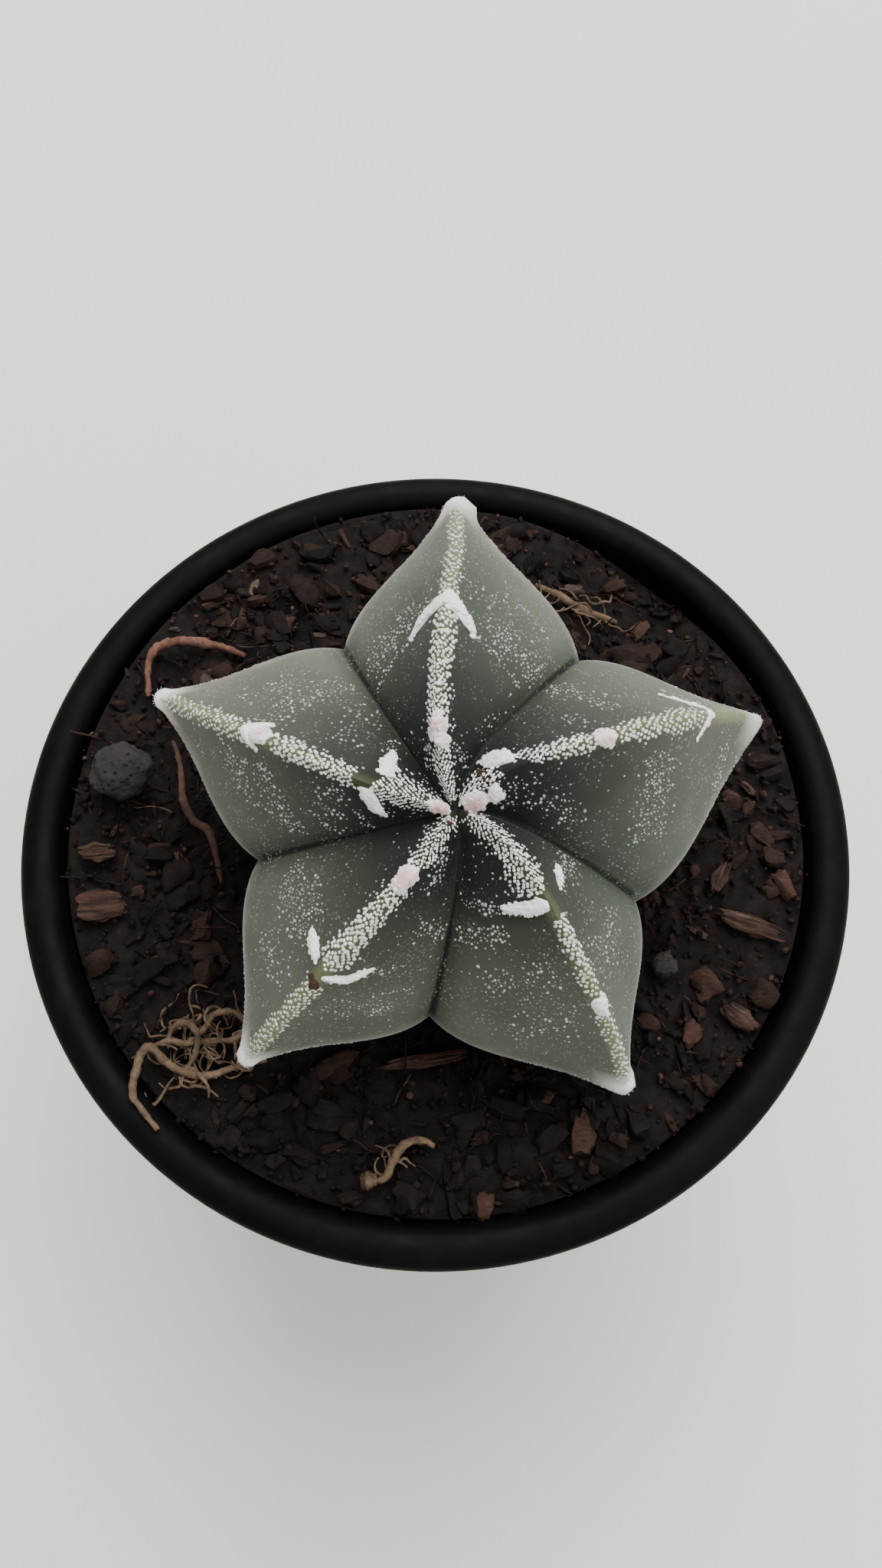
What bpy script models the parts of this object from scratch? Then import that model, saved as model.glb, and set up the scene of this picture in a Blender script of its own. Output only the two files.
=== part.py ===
"""A five-ribbed bishop's cap cactus in a round black plastic pot.

Run with blender --background --python part.py, or from the text editor.
Units are metres and +Z is up. The origin is the middle of the pot's foot, on the
surface that the pot stands on. The plant leans towards -Y, which is the front.
"""

import math
import random

import bpy
import bmesh
from mathutils import Matrix, Vector, noise

MM = 0.001
GAP = 0.35 * MM  # air kept between one piece and the next

# Pot
POT_HEIGHT = 70 * MM
RIM_RADIUS = 40 * MM
LIP_WIDTH = 3.2 * MM
LIP_RISE = 1.3 * MM
LIP_THICK = 2.2 * MM
LIP_STEPS = 6
SKIRT_DEPTH = 8 * MM
SKIRT_WALL = 1.2 * MM
SKIRT_DRAFT = 0.6 * MM
WALL = 1.1 * MM
CORNER = 1.5 * MM  # inside, between the floor and the wall
FOOT_RADIUS = 28 * MM
FOOT_WIDTH = 2.6 * MM
FOOT_RISE = 1.4 * MM
FOOT_EDGE = 0.6 * MM
FLOOR = 1.4 * MM
POT_SIDES = 60
DRAIN_HOLES = 6
DRAIN_RADIUS = 3 * MM
DRAIN_CIRCLE = 16 * MM
DRAIN_SIDES = 16

# Potting mix, with heights from the rim
MIX_LEVEL = -1.8 * MM
MIX_SLOPE = 0.035
MIX_HOLLOWS = (  # x, y, radius and depth of each dip, or of a mound where the depth is negative
    (22 * MM, 25 * MM, 10 * MM, 2.6 * MM),
    (1.6 * MM, -8 * MM, 14 * MM, 3.5 * MM),
    (1.6 * MM, 15 * MM, 11 * MM, -1.8 * MM),
)
MIX_WAVE = 0.35 * MM
MIX_WAVE_LENGTH = 9 * MM
MIX_SIDES = 48
MIX_RINGS = 11
CRUMBS = 95
CRUMB_SIZE = (1.0 * MM, 2.6 * MM)  # half length
CRUMB_WIDTH = (0.4, 0.75)  # of its length
CRUMB_THICKNESS = (0.3, 0.45)
CRUMB_TIP = 0.35  # radians
CRUMB_RAISED = 0.12
NECK_CLEAR = 17 * MM  # no crumbs this near the neck
LOW_CLEAR = 25 * MM  # only small crumbs this near the neck, under the leaning ribs
LOW_SCALE = 0.5

# Cactus
LEAN = math.radians(16.5)
STEM_CENTRE = Vector((1.6 * MM, -3.1 * MM, POT_HEIGHT + 12.1 * MM))
RIBS = 5
TIP_AZIMUTH = (17.0, 88.0, 158.3, 229.5, 301.6)  # degrees round the stem's axis
NOTCH_AZIMUTH = (51.0, 123.5, 193.0, 263.0, 334.5)
TIP_SWIRL = (33.0, 34.0, 16.0, 11.0, 40.0)  # degrees that each crest turns on its way to the apex
NOTCH_SWIRL = (36.0, 12.0, 3.0, 21.0, 28.0)
SWIRL_FADE = 0.35
CREST_SWAY = (2.2, 0.0, 0.0, 0.0, 1.3)  # degrees that each crest bows sideways on its way out
# Crest and groove from the apex (0) by the widest place (1) to the neck (2), in millimetres from STEM_CENTRE
STATIONS = (0, 0.12, 0.3, 0.5, 0.7, 0.87, 1.0, 1.12, 1.3, 1.55, 1.8, 2.0)
CREST_RADIUS = (0, 3.2, 8.5, 14.5, 20.5, 25.6, 28.2, 27.9, 26.0, 21.6, 15.8, 11.8)
CREST_HEIGHT = (9.2, 11.6, 12.6, 11.2, 7.8, 3.4, 0.0, -2.2, -5.4, -9.2, -12.0, -13.4)
GROOVE_RADIUS = (0, 2.4, 6.0, 10.2, 14.0, 16.6, 17.6, 17.7, 17.3, 15.8, 13.2, 11.2)
GROOVE_HEIGHT = (9.2, 9.0, 8.0, 6.2, 3.8, 1.3, -0.8, -2.6, -5.4, -9.2, -12.0, -13.4)
KEEL_SHARE = (0.10, 0.37)  # part of a rib's depth that lies in its narrow keel, at the apex and at the tip
KEEL_WIDTH = (0.38, 0.15)  # of half the rib
NOSE_ROUND = 0.045
FLANK_BULGE = 0.11
STEM_COLUMNS = 14  # across one rib
STEM_ROWS = 22
COLUMN_CROWDING = 1.4
NECK_ROWS = 2
NECK_RADIUS = 11.2 * MM
NECK_FOOT_SCALE = 0.9
NECK_CENTRE = (1.6 * MM, 0.9 * MM)
NECK_DEPTH = 11 * MM
NECK_PLAY = 0.9 * MM  # between the neck and the hole it stands in
NECK_SIDES = 32

# Flecks, areoles and wool, where three sizes are half length, half width and half height
FLECKS = 235
FLECK_WIDTH = 0.58 * MM
FLECK_HEIGHT = 0.36 * MM
FLECK_SUNK = 0.18 * MM
FLECK_SPACING = 1.25 * MM
FLECK_STATIONS = (0.1, 1.2)
CREST_BAND = 2.0 * MM  # the close flecks lie this near the crest
CREST_SHARE = 0.62  # of the flecks
FLANK_REACH = 0.84
AREOLE = (1.75 * MM, 1.1 * MM, 0.7 * MM)
AREOLE_STATIONS = ((0.46,), (0.23,), (0.59,), (0.25,), (0.69,))  # for each rib, in the order of TIP_AZIMUTH
WOOL_TIP = (1.3 * MM, 1.1 * MM, 0.8 * MM)
TIP_WOOL_STATION = 0.965
TIP_WOOL_SUNK = 0.25 * MM
APEX_WOOL = (1.2 * MM, 1.4 * MM, 0.85 * MM)
APEX_WOOL_PLACES = ((2, 0.1), (0, -0.2))  # rib and place across it
APEX_WOOL_STATION = 0.09
CHEVRON_ARM = (1.9 * MM, 0.55 * MM, 0.55 * MM)
CHEVRON_STATIONS = ((0.19, 0.77), (0.59,), (0.29,), (0.61,), (0.39,))
CHEVRON_SPREAD = 1.9 * MM  # from the crest to an arm's middle
CHEVRON_BACK = 0.045  # an arm's middle lies this far inside its areole, in stations
CHEVRON_ANGLE = math.radians(54)

# Loose things on the mix, in millimetres
ROOT_POINTS_PER_SPAN = 2
ROOT_END_SCALE = 0.55
MAIN_ROOT = 0.6  # radius of a root
SIDE_ROOT = 0.45
ROOT_TANGLE = (  # each root as (x, y, lift over the mix); the last end of the first leans on the pot's lip
    ((-15.6, -22.3, 0.0), (-18.7, -23.1, 0.1), (-21.1, -23.8, 0.2), (-23.2, -23.4, 0.5), (-24.9, -22.5, 0.8),
     (-26.2, -21.3, 1.2), (-27.0, -22.2, 1.4), (-27.2, -23.9, 1.8), (-27.2, -25.6, 2.3), (-26.1, -27.1, 2.5),
     (-24.7, -28.7, 2.5)),
    ((-18.2, -20.6, 0.2), (-20.4, -20.6, 0.5), (-23.0, -20.9, 0.9), (-24.7, -20.7, 1.0), (-26.2, -21.3, 1.2)),
    ((-24.7, -20.7, 1.0), (-24.1, -19.4, 1.5), (-22.8, -19.2, 1.6), (-21.9, -20.4, 1.4), (-22.2, -22.2, 0.9),
     (-23.2, -23.4, 0.5)),
    ((-23.0, -20.9, 0.9), (-21.5, -19.9, 1.3), (-20.3, -18.3, 1.7), (-18.4, -18.3, 1.6), (-17.4, -19.4, 1.3),
     (-18.5, -20.5, 1.0), (-20.4, -20.6, 0.5)),
)
ROOTS = {  # radius and points of each single root
    "root_left_arc": (0.42, ((-19.6, 18.5, 0.0), (-21.4, 19.2, 0.2), (-23.4, 19.6, 0.5), (-25.6, 19.8, 0.6),
                             (-27.4, 19.6, 0.7), (-28.8, 18.9, 0.6), (-29.5, 16.9, 0.4), (-29.3, 14.0, 0.0))),
    "root_left_low": (0.4, ((-26.5, 9.1, 0.0), (-25.5, 6.4, 0.1), (-25.0, 2.9, 0.3), (-23.9, 0.8, 0.2),
                            (-22.3, -0.3, 0.2), (-21.4, -3.0, 0.1), (-20.8, -5.4, 0.0))),
    "root_front": (0.7, ((-6.2, -32.9, 0.1), (-4.6, -32.7, 0.4), (-3.8, -31.2, 0.5), (-2.9, -29.9, 0.4),
                         (-1.5, -29.4, 0.2), (-0.1, -29.9, 0.0))),
    "root_right": (0.45, ((10.5, 26.9, 0.0), (12.9, 25.8, 0.3), (15.3, 24.5, 0.3), (19.2, 23.5, 0.0))),
}
BARK = {  # x, y, half length, half width, half thickness, turn in degrees
    "bark_chip_1": (-33.0, -2.5, 1.7, 1.0, 0.5, 5),
    "bark_chip_2": (-32.2, -7.8, 2.3, 1.7, 0.5, 8),
    "bark_chip_3": (27.6, -5.0, 1.6, 0.8, 0.5, 66),
    "bark_chip_4": (28.5, -18.5, 1.7, 1.0, 0.5, 139),
    "bark_chip_5": (30.2, -9.7, 3.2, 1.0, 0.5, 160),
    "bark_stick": (-1.1, -22.2, 4.0, 0.7, 0.5, 9),
}
BARK_TAPER = 0.35
PEBBLES = {"pumice_pebble": (-31.0, 5.3, 2.9), "pale_pebble": (21.6, -13.6, 1.2)}  # x, y, radius
PEBBLE_FLATNESS = 0.7
PEBBLE_LUMPS = 0.22
ROOT_CLEAR = 1.0  # no crumbs this near a root

STEM_AXIS = Vector((0, -math.sin(LEAN), math.cos(LEAN)))
STEM_RIGHT = Vector((1, 0, 0))
STEM_BACK = STEM_AXIS.cross(STEM_RIGHT)


def clear_scene():
    for obj in list(bpy.data.objects):
        bpy.data.objects.remove(obj, do_unlink=True)


def material(name, colour, roughness, metallic=0.0):
    made = bpy.data.materials.new(name)
    made.use_nodes = True
    shader = made.node_tree.nodes["Principled BSDF"]
    shader.inputs["Base Color"].default_value = (*colour, 1.0)
    shader.inputs["Roughness"].default_value = roughness
    shader.inputs["Metallic"].default_value = metallic
    return made


def shade(mesh, sharp_above):
    """Smooth shading, with edges sharper than this many degrees kept hard."""
    mesh.shade_smooth()
    mesh.set_sharp_from_angle(angle=math.radians(sharp_above))


def add_object(name, bm, finish=None, sharp_above=None):
    mesh = bpy.data.meshes.new(name)
    bm.to_mesh(mesh)
    bm.free()
    if finish:
        mesh.materials.append(finish)
    if sharp_above:
        shade(mesh, sharp_above)
    obj = bpy.data.objects.new(name, mesh)
    bpy.context.scene.collection.objects.link(obj)
    return obj


def drill(obj, name, bm):
    """Cuts a bmesh's shape out of obj, with the shape kept as a hidden cutter."""
    cutter = add_object(name, bm)
    cutter.hide_render = True
    cutter.display_type = "WIRE"
    cut = obj.modifiers.new(name, "BOOLEAN")
    cut.operation = "DIFFERENCE"
    cut.object = cutter


def evaluated_mesh(obj):
    graph = bpy.context.evaluated_depsgraph_get()
    graph.update()
    return bpy.data.meshes.new_from_object(obj.evaluated_get(graph))


def apply_modifiers(obj):
    old = obj.data
    new = evaluated_mesh(obj)
    obj.modifiers.clear()
    obj.data = new
    bpy.data.meshes.remove(old)


def fuse(obj, pieces, sharp_above):
    """Joins many small closed pieces to obj with one Boolean union, and removes them."""
    group = bpy.data.collections.new(obj.name + "_repeats")
    bpy.context.scene.collection.children.link(group)
    for piece in pieces:
        bpy.context.scene.collection.objects.unlink(piece)
        group.objects.link(piece)
    union = obj.modifiers.new("fuse", "BOOLEAN")
    union.operation = "UNION"
    union.operand_type = "COLLECTION"
    union.collection = group
    union.solver = "MANIFOLD"
    apply_modifiers(obj)
    shade(obj.data, sharp_above)
    for piece in pieces:
        bpy.data.objects.remove(piece, do_unlink=True)
    bpy.data.collections.remove(group)


def curve_through(xs, ys, x):
    """The value at x of a smooth cubic through the stations xs and their values ys."""
    i = 0
    while i < len(xs) - 2 and x > xs[i + 1]:
        i += 1

    def slope(k):
        low = max(k - 1, 0)
        high = min(k + 1, len(xs) - 1)
        return (ys[high] - ys[low]) / (xs[high] - xs[low])

    step = xs[i + 1] - xs[i]
    t = (x - xs[i]) / step
    return (
        (2 * t**3 - 3 * t**2 + 1) * ys[i]
        + (t**3 - 2 * t**2 + t) * step * slope(i)
        + (3 * t**2 - 2 * t**3) * ys[i + 1]
        + (t**3 - t**2) * step * slope(i + 1)
    )


def between(pair, share):
    return pair[0] + (pair[1] - pair[0]) * share


# Pot


def inner_radius(z):
    """The pot's inner wall at height z."""
    return between((FOOT_RADIUS - WALL, RIM_RADIUS - LIP_WIDTH), min(max(z / POT_HEIGHT, 0), 1))


def pot_profile():
    """The pot's section as (radius, height), from the floor's middle up, over the lip and back under."""
    skirt_foot = POT_HEIGHT - SKIRT_DEPTH
    skirt_top = POT_HEIGHT - LIP_THICK
    skirt_radius = RIM_RADIUS - SKIRT_DRAFT
    floor_top = FOOT_RISE + FLOOR
    turns = [math.pi * k / LIP_STEPS for k in range(LIP_STEPS + 1)]
    half = LIP_WIDTH / 2
    lip = [(RIM_RADIUS - half - half * math.cos(t), POT_HEIGHT - LIP_RISE * (1 - math.sin(t))) for t in turns]
    return [
        (0, floor_top),
        (inner_radius(floor_top) - CORNER, floor_top),
        (inner_radius(floor_top + CORNER), floor_top + CORNER),
        *lip,
        (skirt_radius, skirt_foot),
        (skirt_radius - SKIRT_WALL, skirt_foot),
        (RIM_RADIUS - SKIRT_WALL, skirt_top),
        (inner_radius(skirt_top) + WALL, skirt_top),
        (FOOT_RADIUS, FOOT_EDGE),
        (FOOT_RADIUS - FOOT_EDGE, 0),
        (FOOT_RADIUS - FOOT_WIDTH, 0),
        (FOOT_RADIUS - FOOT_WIDTH - FOOT_EDGE, FOOT_RISE),
        (0, FOOT_RISE),
    ]


def turned(profile, sides):
    """A closed body turned about Z from a profile whose ends lie on the axis."""
    bm = bmesh.new()
    verts = [bm.verts.new((r, 0, z)) for r, z in profile]
    edges = [bm.edges.new(pair) for pair in zip(verts, verts[1:])]
    bmesh.ops.spin(
        bm, geom=verts + edges, cent=(0, 0, 0), axis=(0, 0, 1),
        angle=2 * math.pi, steps=sides, use_merge=True,
    )
    bmesh.ops.remove_doubles(bm, verts=bm.verts, dist=0.0001 * MM)
    bmesh.ops.recalc_face_normals(bm, faces=bm.faces)
    return bm


def rod(bm, place, radius, depth, sides):
    """Adds a closed upright cylinder with its middle at place."""
    bmesh.ops.create_cone(
        bm, cap_ends=True, segments=sides, radius1=radius, radius2=radius,
        depth=depth, matrix=Matrix.Translation(place),
    )


def make_pot():
    plastic = material("pot_black_plastic", (0.012, 0.012, 0.014), 0.42)
    pot = add_object("pot", turned(pot_profile(), POT_SIDES), plastic, 35)
    bm = bmesh.new()
    for k in range(DRAIN_HOLES):
        angle = 2 * math.pi * (k + 0.5) / DRAIN_HOLES
        place = (DRAIN_CIRCLE * math.cos(angle), DRAIN_CIRCLE * math.sin(angle), FOOT_RISE + FLOOR / 2)
        rod(bm, place, DRAIN_RADIUS, 4 * FLOOR, DRAIN_SIDES)
    drill(pot, "drain_drills", bm)


# Potting mix


def mix_height(x, y):
    """The smooth surface of the mix under its crumbs, in world height."""
    z = MIX_LEVEL + MIX_SLOPE * y
    for cx, cy, radius, depth in MIX_HOLLOWS:
        z -= depth * math.exp(-((x - cx) ** 2 + (y - cy) ** 2) / radius**2)
    z += MIX_WAVE * noise.noise(Vector((x, y, 0)) / MIX_WAVE_LENGTH)
    return POT_HEIGHT + z


def mix_body():
    """The filling: a tapered plug whose top is inset ring by ring and then laid to the surface."""
    bottom = FOOT_RISE + FLOOR + GAP
    top = POT_HEIGHT + MIX_LEVEL
    top_radius = inner_radius(top) - GAP
    bm = bmesh.new()
    bmesh.ops.create_cone(
        bm, cap_ends=True, segments=MIX_SIDES, radius1=inner_radius(bottom) - CORNER - GAP,
        radius2=top_radius, depth=top - bottom, matrix=Matrix.Translation((0, 0, (top + bottom) / 2)),
    )
    cap = max(bm.faces, key=lambda face: face.calc_center_median().z)
    edge = list(cap.verts)
    ring = top_radius / (MIX_RINGS + 0.5) * math.cos(math.pi / MIX_SIDES)
    for _ in range(MIX_RINGS):
        bmesh.ops.inset_region(bm, faces=[cap], thickness=ring, use_even_offset=True)
    bmesh.ops.poke(bm, faces=[cap])
    for vert in bm.verts:
        if vert.co.z > (bottom + top) / 2:
            vert.co.z = mix_height(vert.co.x, vert.co.y)
    for vert in edge:
        fit = (inner_radius(vert.co.z) - GAP) / top_radius
        vert.co.x *= fit
        vert.co.y *= fit
    bmesh.ops.triangulate(bm, faces=[face for face in bm.faces if len(face.verts) == 4])
    return bm


def crumb(rng, x, y, scale):
    """One angular bit of bark, half sunk in the mix."""
    size = rng.uniform(*CRUMB_SIZE) * scale
    bm = bmesh.new()
    bmesh.ops.create_cube(bm, size=2)
    for vert in bm.verts:
        vert.co *= rng.uniform(0.65, 1.0)
    turn = Matrix.Rotation(rng.uniform(0, 2 * math.pi), 4, "Z")
    tip = Matrix.Rotation(rng.uniform(-CRUMB_TIP, CRUMB_TIP), 4, "X")
    shape = Matrix.Diagonal((size, size * rng.uniform(*CRUMB_WIDTH), size * rng.uniform(*CRUMB_THICKNESS), 1))
    place = Matrix.Translation((x, y, mix_height(x, y) + CRUMB_RAISED * size))
    bmesh.ops.transform(bm, matrix=place @ turn @ tip @ shape, verts=bm.verts)
    return add_object("crumb", bm)


def loose_places():
    """Circles (x, y, radius) that hold the loose things, so that no crumb grows into one."""
    places = [(x, y, long) for x, y, long, _, _, _ in BARK.values()]
    places += list(PEBBLES.values())
    for path in (*ROOT_TANGLE, *(points for _, points in ROOTS.values())):
        for (x0, y0, _), (x1, y1, _) in zip(path, path[1:]):
            places += [(x0, y0, ROOT_CLEAR), ((x0 + x1) / 2, (y0 + y1) / 2, ROOT_CLEAR), (x1, y1, ROOT_CLEAR)]
    return [(x * MM, y * MM, radius * MM) for x, y, radius in places]


def crumbs():
    """Bark bits strewn over the mix, away from the neck, the wall and the loose things."""
    rng = random.Random(7)
    kept_clear = loose_places()
    reach = RIM_RADIUS - LIP_WIDTH - GAP - CRUMB_SIZE[1]
    made = []
    while len(made) < CRUMBS:
        out = reach * math.sqrt(rng.random())
        angle = rng.uniform(0, 2 * math.pi)
        x = out * math.cos(angle)
        y = out * math.sin(angle)
        from_neck = math.hypot(x - NECK_CENTRE[0], y - NECK_CENTRE[1])
        clear = all(math.hypot(x - px, y - py) > CRUMB_SIZE[1] + size for px, py, size in kept_clear)
        if clear and from_neck > NECK_CLEAR:
            made.append(crumb(rng, x, y, LOW_SCALE if from_neck < LOW_CLEAR else 1))
    return made


def make_mix():
    bark = material("mix_dark_bark", (0.03, 0.02, 0.016), 0.95)
    mix = add_object("potting_mix", mix_body(), bark)
    hole = bmesh.new()
    hole_low = POT_HEIGHT - NECK_DEPTH - GAP
    rod(hole, (*NECK_CENTRE, hole_low + NECK_DEPTH), NECK_RADIUS + NECK_PLAY, 2 * NECK_DEPTH, NECK_SIDES)
    drill(mix, "neck_hole", hole)
    apply_modifiers(mix)
    fuse(mix, crumbs(), 30)


# Cactus


def drop_across(across, station):
    """How far the surface has gone from crest (0) to groove (1), at across in -1 to 1."""
    out = min(station, 1.0)
    keel = between(KEEL_SHARE, out**2)
    width = between(KEEL_WIDTH, out)
    rounded = math.hypot(across, NOSE_ROUND) - NOSE_ROUND
    nose = (1 - math.exp(-rounded / width)) / (1 - math.exp(-(1 - NOSE_ROUND) / width))
    flank = (1 - FLANK_BULGE) * abs(across) + FLANK_BULGE * across**6
    return keel * nose + (1 - keel) * flank


def azimuth(rib, across, station):
    """The direction of a place on a rib, turned a little as it nears the apex."""
    turn = math.exp(-min(station, 1) / SWIRL_FADE) - math.exp(-1 / SWIRL_FADE)
    low = NOTCH_AZIMUTH[rib - 1] - (360 if rib == 0 else 0) + NOTCH_SWIRL[rib - 1] * turn
    high = NOTCH_AZIMUTH[rib] + NOTCH_SWIRL[rib] * turn
    mid = TIP_AZIMUTH[rib] + TIP_SWIRL[rib] * turn + CREST_SWAY[rib] * math.sin(math.pi * min(station, 1) ** 2)
    side = mid - low if across < 0 else high - mid
    return math.radians(mid + across * side)


def stem_point(rib, across, station):
    """A point of the stem's skin. A rib runs from groove (-1) over its crest (0) to groove (1)."""
    drop = drop_across(across, station)
    radii = [curve_through(STATIONS, values, station) for values in (CREST_RADIUS, GROOVE_RADIUS)]
    heights = [curve_through(STATIONS, values, station) for values in (CREST_HEIGHT, GROOVE_HEIGHT)]
    radius = between(radii, drop) * MM
    height = between(heights, drop) * MM
    angle = azimuth(rib, across, station)
    flat = STEM_RIGHT * math.cos(angle) + STEM_BACK * math.sin(angle)
    return STEM_CENTRE + flat * radius + STEM_AXIS * height


def neck_point(row, angle):
    """The plain round neck that stands in the mix."""
    share = row / NECK_ROWS
    radius = NECK_RADIUS * between((1, NECK_FOOT_SCALE), share)
    x = NECK_CENTRE[0] + radius * math.cos(angle)
    y = NECK_CENTRE[1] + radius * math.sin(angle)
    return Vector((x, y, POT_HEIGHT - NECK_DEPTH * share))


def column_place(column):
    """The rib and the place across it of one of the mesh's columns, closer together at the crest."""
    rib, step = divmod(column, STEM_COLUMNS)
    t = step / (STEM_COLUMNS / 2) - 1
    return rib, math.copysign(abs(t) ** COLUMN_CROWDING, t)


def stem_body():
    """A ball whose rings and columns are laid over the ribbed skin and the neck."""
    columns = RIBS * STEM_COLUMNS
    rings = STEM_ROWS + NECK_ROWS
    bm = bmesh.new()
    bmesh.ops.create_uvsphere(bm, u_segments=columns, v_segments=rings + 1, radius=1)
    for vert in bm.verts:
        row = round(math.acos(max(-1, min(1, vert.co.z))) / math.pi * (rings + 1))
        column = round(math.atan2(vert.co.y, vert.co.x) / (2 * math.pi) * columns) % columns
        rib, across = column_place(column)
        if row > rings:
            vert.co = Vector((*NECK_CENTRE, POT_HEIGHT - NECK_DEPTH))
        elif row > STEM_ROWS:
            vert.co = neck_point(row - STEM_ROWS, azimuth(rib, across, 2))
        else:
            vert.co = stem_point(rib, across, 2 * row / STEM_ROWS)
    bmesh.ops.recalc_face_normals(bm, faces=bm.faces)
    return bm


def on_skin(rib, across, station, out, turn=0.0):
    """A frame on the skin: X runs down the rib, Y anticlockwise round the stem, and Z points out."""
    step = 0.02
    inner = max(-1 + step, min(1 - step, across))
    ahead = stem_point(rib, across, station + step) - stem_point(rib, across, station - step)
    side = stem_point(rib, inner + step, station) - stem_point(rib, inner - step, station)
    z = ahead.cross(side).normalized()
    x = (ahead - z * ahead.dot(z)).normalized()
    axes = Matrix((x, z.cross(x), z)).transposed().to_4x4()
    place = Matrix.Translation(stem_point(rib, across, station) + z * out)
    return place @ axes @ Matrix.Rotation(turn, 4, "Z")


def across_of(distance, station):
    """The place across a rib that lies this far from its crest."""
    radius = max(curve_through(STATIONS, CREST_RADIUS, station), 3) * MM
    return distance / (radius * math.pi / RIBS)


def pad(name, place, half, sides=8):
    """A low oval cushion of wool."""
    bm = bmesh.new()
    bmesh.ops.create_uvsphere(bm, u_segments=sides, v_segments=4, radius=1)
    bmesh.ops.transform(bm, matrix=place @ Matrix.Diagonal((*half, 1)), verts=bm.verts)
    return add_object(name, bm)


def areoles():
    """The woolly pads along each crest and at its tip, the chevrons' arms and the wool at the apex."""
    made = []
    for rib in range(RIBS):
        for station in AREOLE_STATIONS[rib]:
            made.append(pad("areole", on_skin(rib, 0, station, 0), AREOLE))
        made.append(pad("tip_wool", on_skin(rib, 0, TIP_WOOL_STATION, -TIP_WOOL_SUNK), WOOL_TIP))
        for station in CHEVRON_STATIONS[rib]:
            middle = station - CHEVRON_BACK
            across = across_of(CHEVRON_SPREAD, middle)
            for side in (-1, 1):
                place = on_skin(rib, side * across, middle, 0, -side * CHEVRON_ANGLE)
                made.append(pad("chevron_arm", place, CHEVRON_ARM, 6))
    for rib, across in APEX_WOOL_PLACES:
        made.append(pad("apex_wool", on_skin(rib, across, APEX_WOOL_STATION, 0), APEX_WOOL))
    return made


def fleck(rng, rib, across, station):
    """One white fleck: a low four-sided point."""
    bm = bmesh.new()
    bmesh.ops.create_cone(
        bm, cap_ends=True, segments=4, radius1=FLECK_WIDTH * rng.uniform(0.85, 1.15), radius2=0,
        depth=FLECK_HEIGHT + FLECK_SUNK,
    )
    place = on_skin(rib, across, station, (FLECK_HEIGHT - FLECK_SUNK) / 2, rng.uniform(0, math.pi))
    bmesh.ops.transform(bm, matrix=place, verts=bm.verts)
    return add_object("fleck", bm)


def flecks():
    """Flecks in a close band along each crest and in a thin scatter over the flanks."""
    rng = random.Random(11)
    made = []
    taken = []
    while len(made) < FLECKS:
        rib = rng.randrange(RIBS)
        station = rng.uniform(*FLECK_STATIONS)
        on_crest = rng.random() < CREST_SHARE
        across = rng.uniform(-1, 1) * (across_of(CREST_BAND, station) if on_crest else FLANK_REACH)
        point = stem_point(rib, across, station)
        if all((point - other).length > FLECK_SPACING for other in taken):
            taken.append(point)
            made.append(fleck(rng, rib, across, station))
    return made


def make_stem():
    skin = material("cactus_skin", (0.09, 0.11, 0.09), 0.62)
    stem = add_object("cactus_stem", stem_body(), skin)
    fuse(stem, areoles() + flecks(), 30)


# Loose things on the mix


def root_path(points, radius):
    """A smooth line through the given points, held over the mix by the gap and the root's own radius."""
    spans = len(points) - 1
    path = []
    for k in range(ROOT_POINTS_PER_SPAN * spans + 1):
        at = k / ROOT_POINTS_PER_SPAN
        x, y, lift = (curve_through(range(spans + 1), [p[i] for p in points], at) * MM for i in range(3))
        path.append((x, y, mix_height(x, y) + GAP + radius * MM + max(lift, 0)))
    return path


def root_tube(name, points, radius, finish=None):
    """A root as a thin closed tube that narrows at its ends."""
    path = root_path(points, radius)
    curve = bpy.data.curves.new(name, "CURVE")
    curve.dimensions = "3D"
    curve.bevel_depth = radius * MM
    curve.bevel_resolution = 1
    curve.use_fill_caps = True
    spline = curve.splines.new("POLY")
    spline.points.add(len(path) - 1)
    for k, point in enumerate(path):
        spline.points[k].co = (*point, 1)
        spline.points[k].radius = between((ROOT_END_SCALE, 1), math.sin(math.pi * k / (len(path) - 1)))
    obj = bpy.data.objects.new(name, curve)
    bpy.context.scene.collection.objects.link(obj)
    bm = bmesh.new()
    bm.from_mesh(evaluated_mesh(obj))
    bpy.data.objects.remove(obj, do_unlink=True)
    bmesh.ops.remove_doubles(bm, verts=bm.verts, dist=0.001 * MM)
    bmesh.ops.recalc_face_normals(bm, faces=bm.faces)
    return add_object(name, bm, finish, 80)


def make_roots():
    dry = material("dried_root", (0.33, 0.22, 0.13), 0.8)
    for name, (radius, points) in ROOTS.items():
        root_tube(name, points, radius, dry)
    main = root_tube("root_tangle", ROOT_TANGLE[0], MAIN_ROOT, dry)
    fuse(main, [root_tube("side_root", points, SIDE_ROOT) for points in ROOT_TANGLE[1:]], 60)


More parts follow.
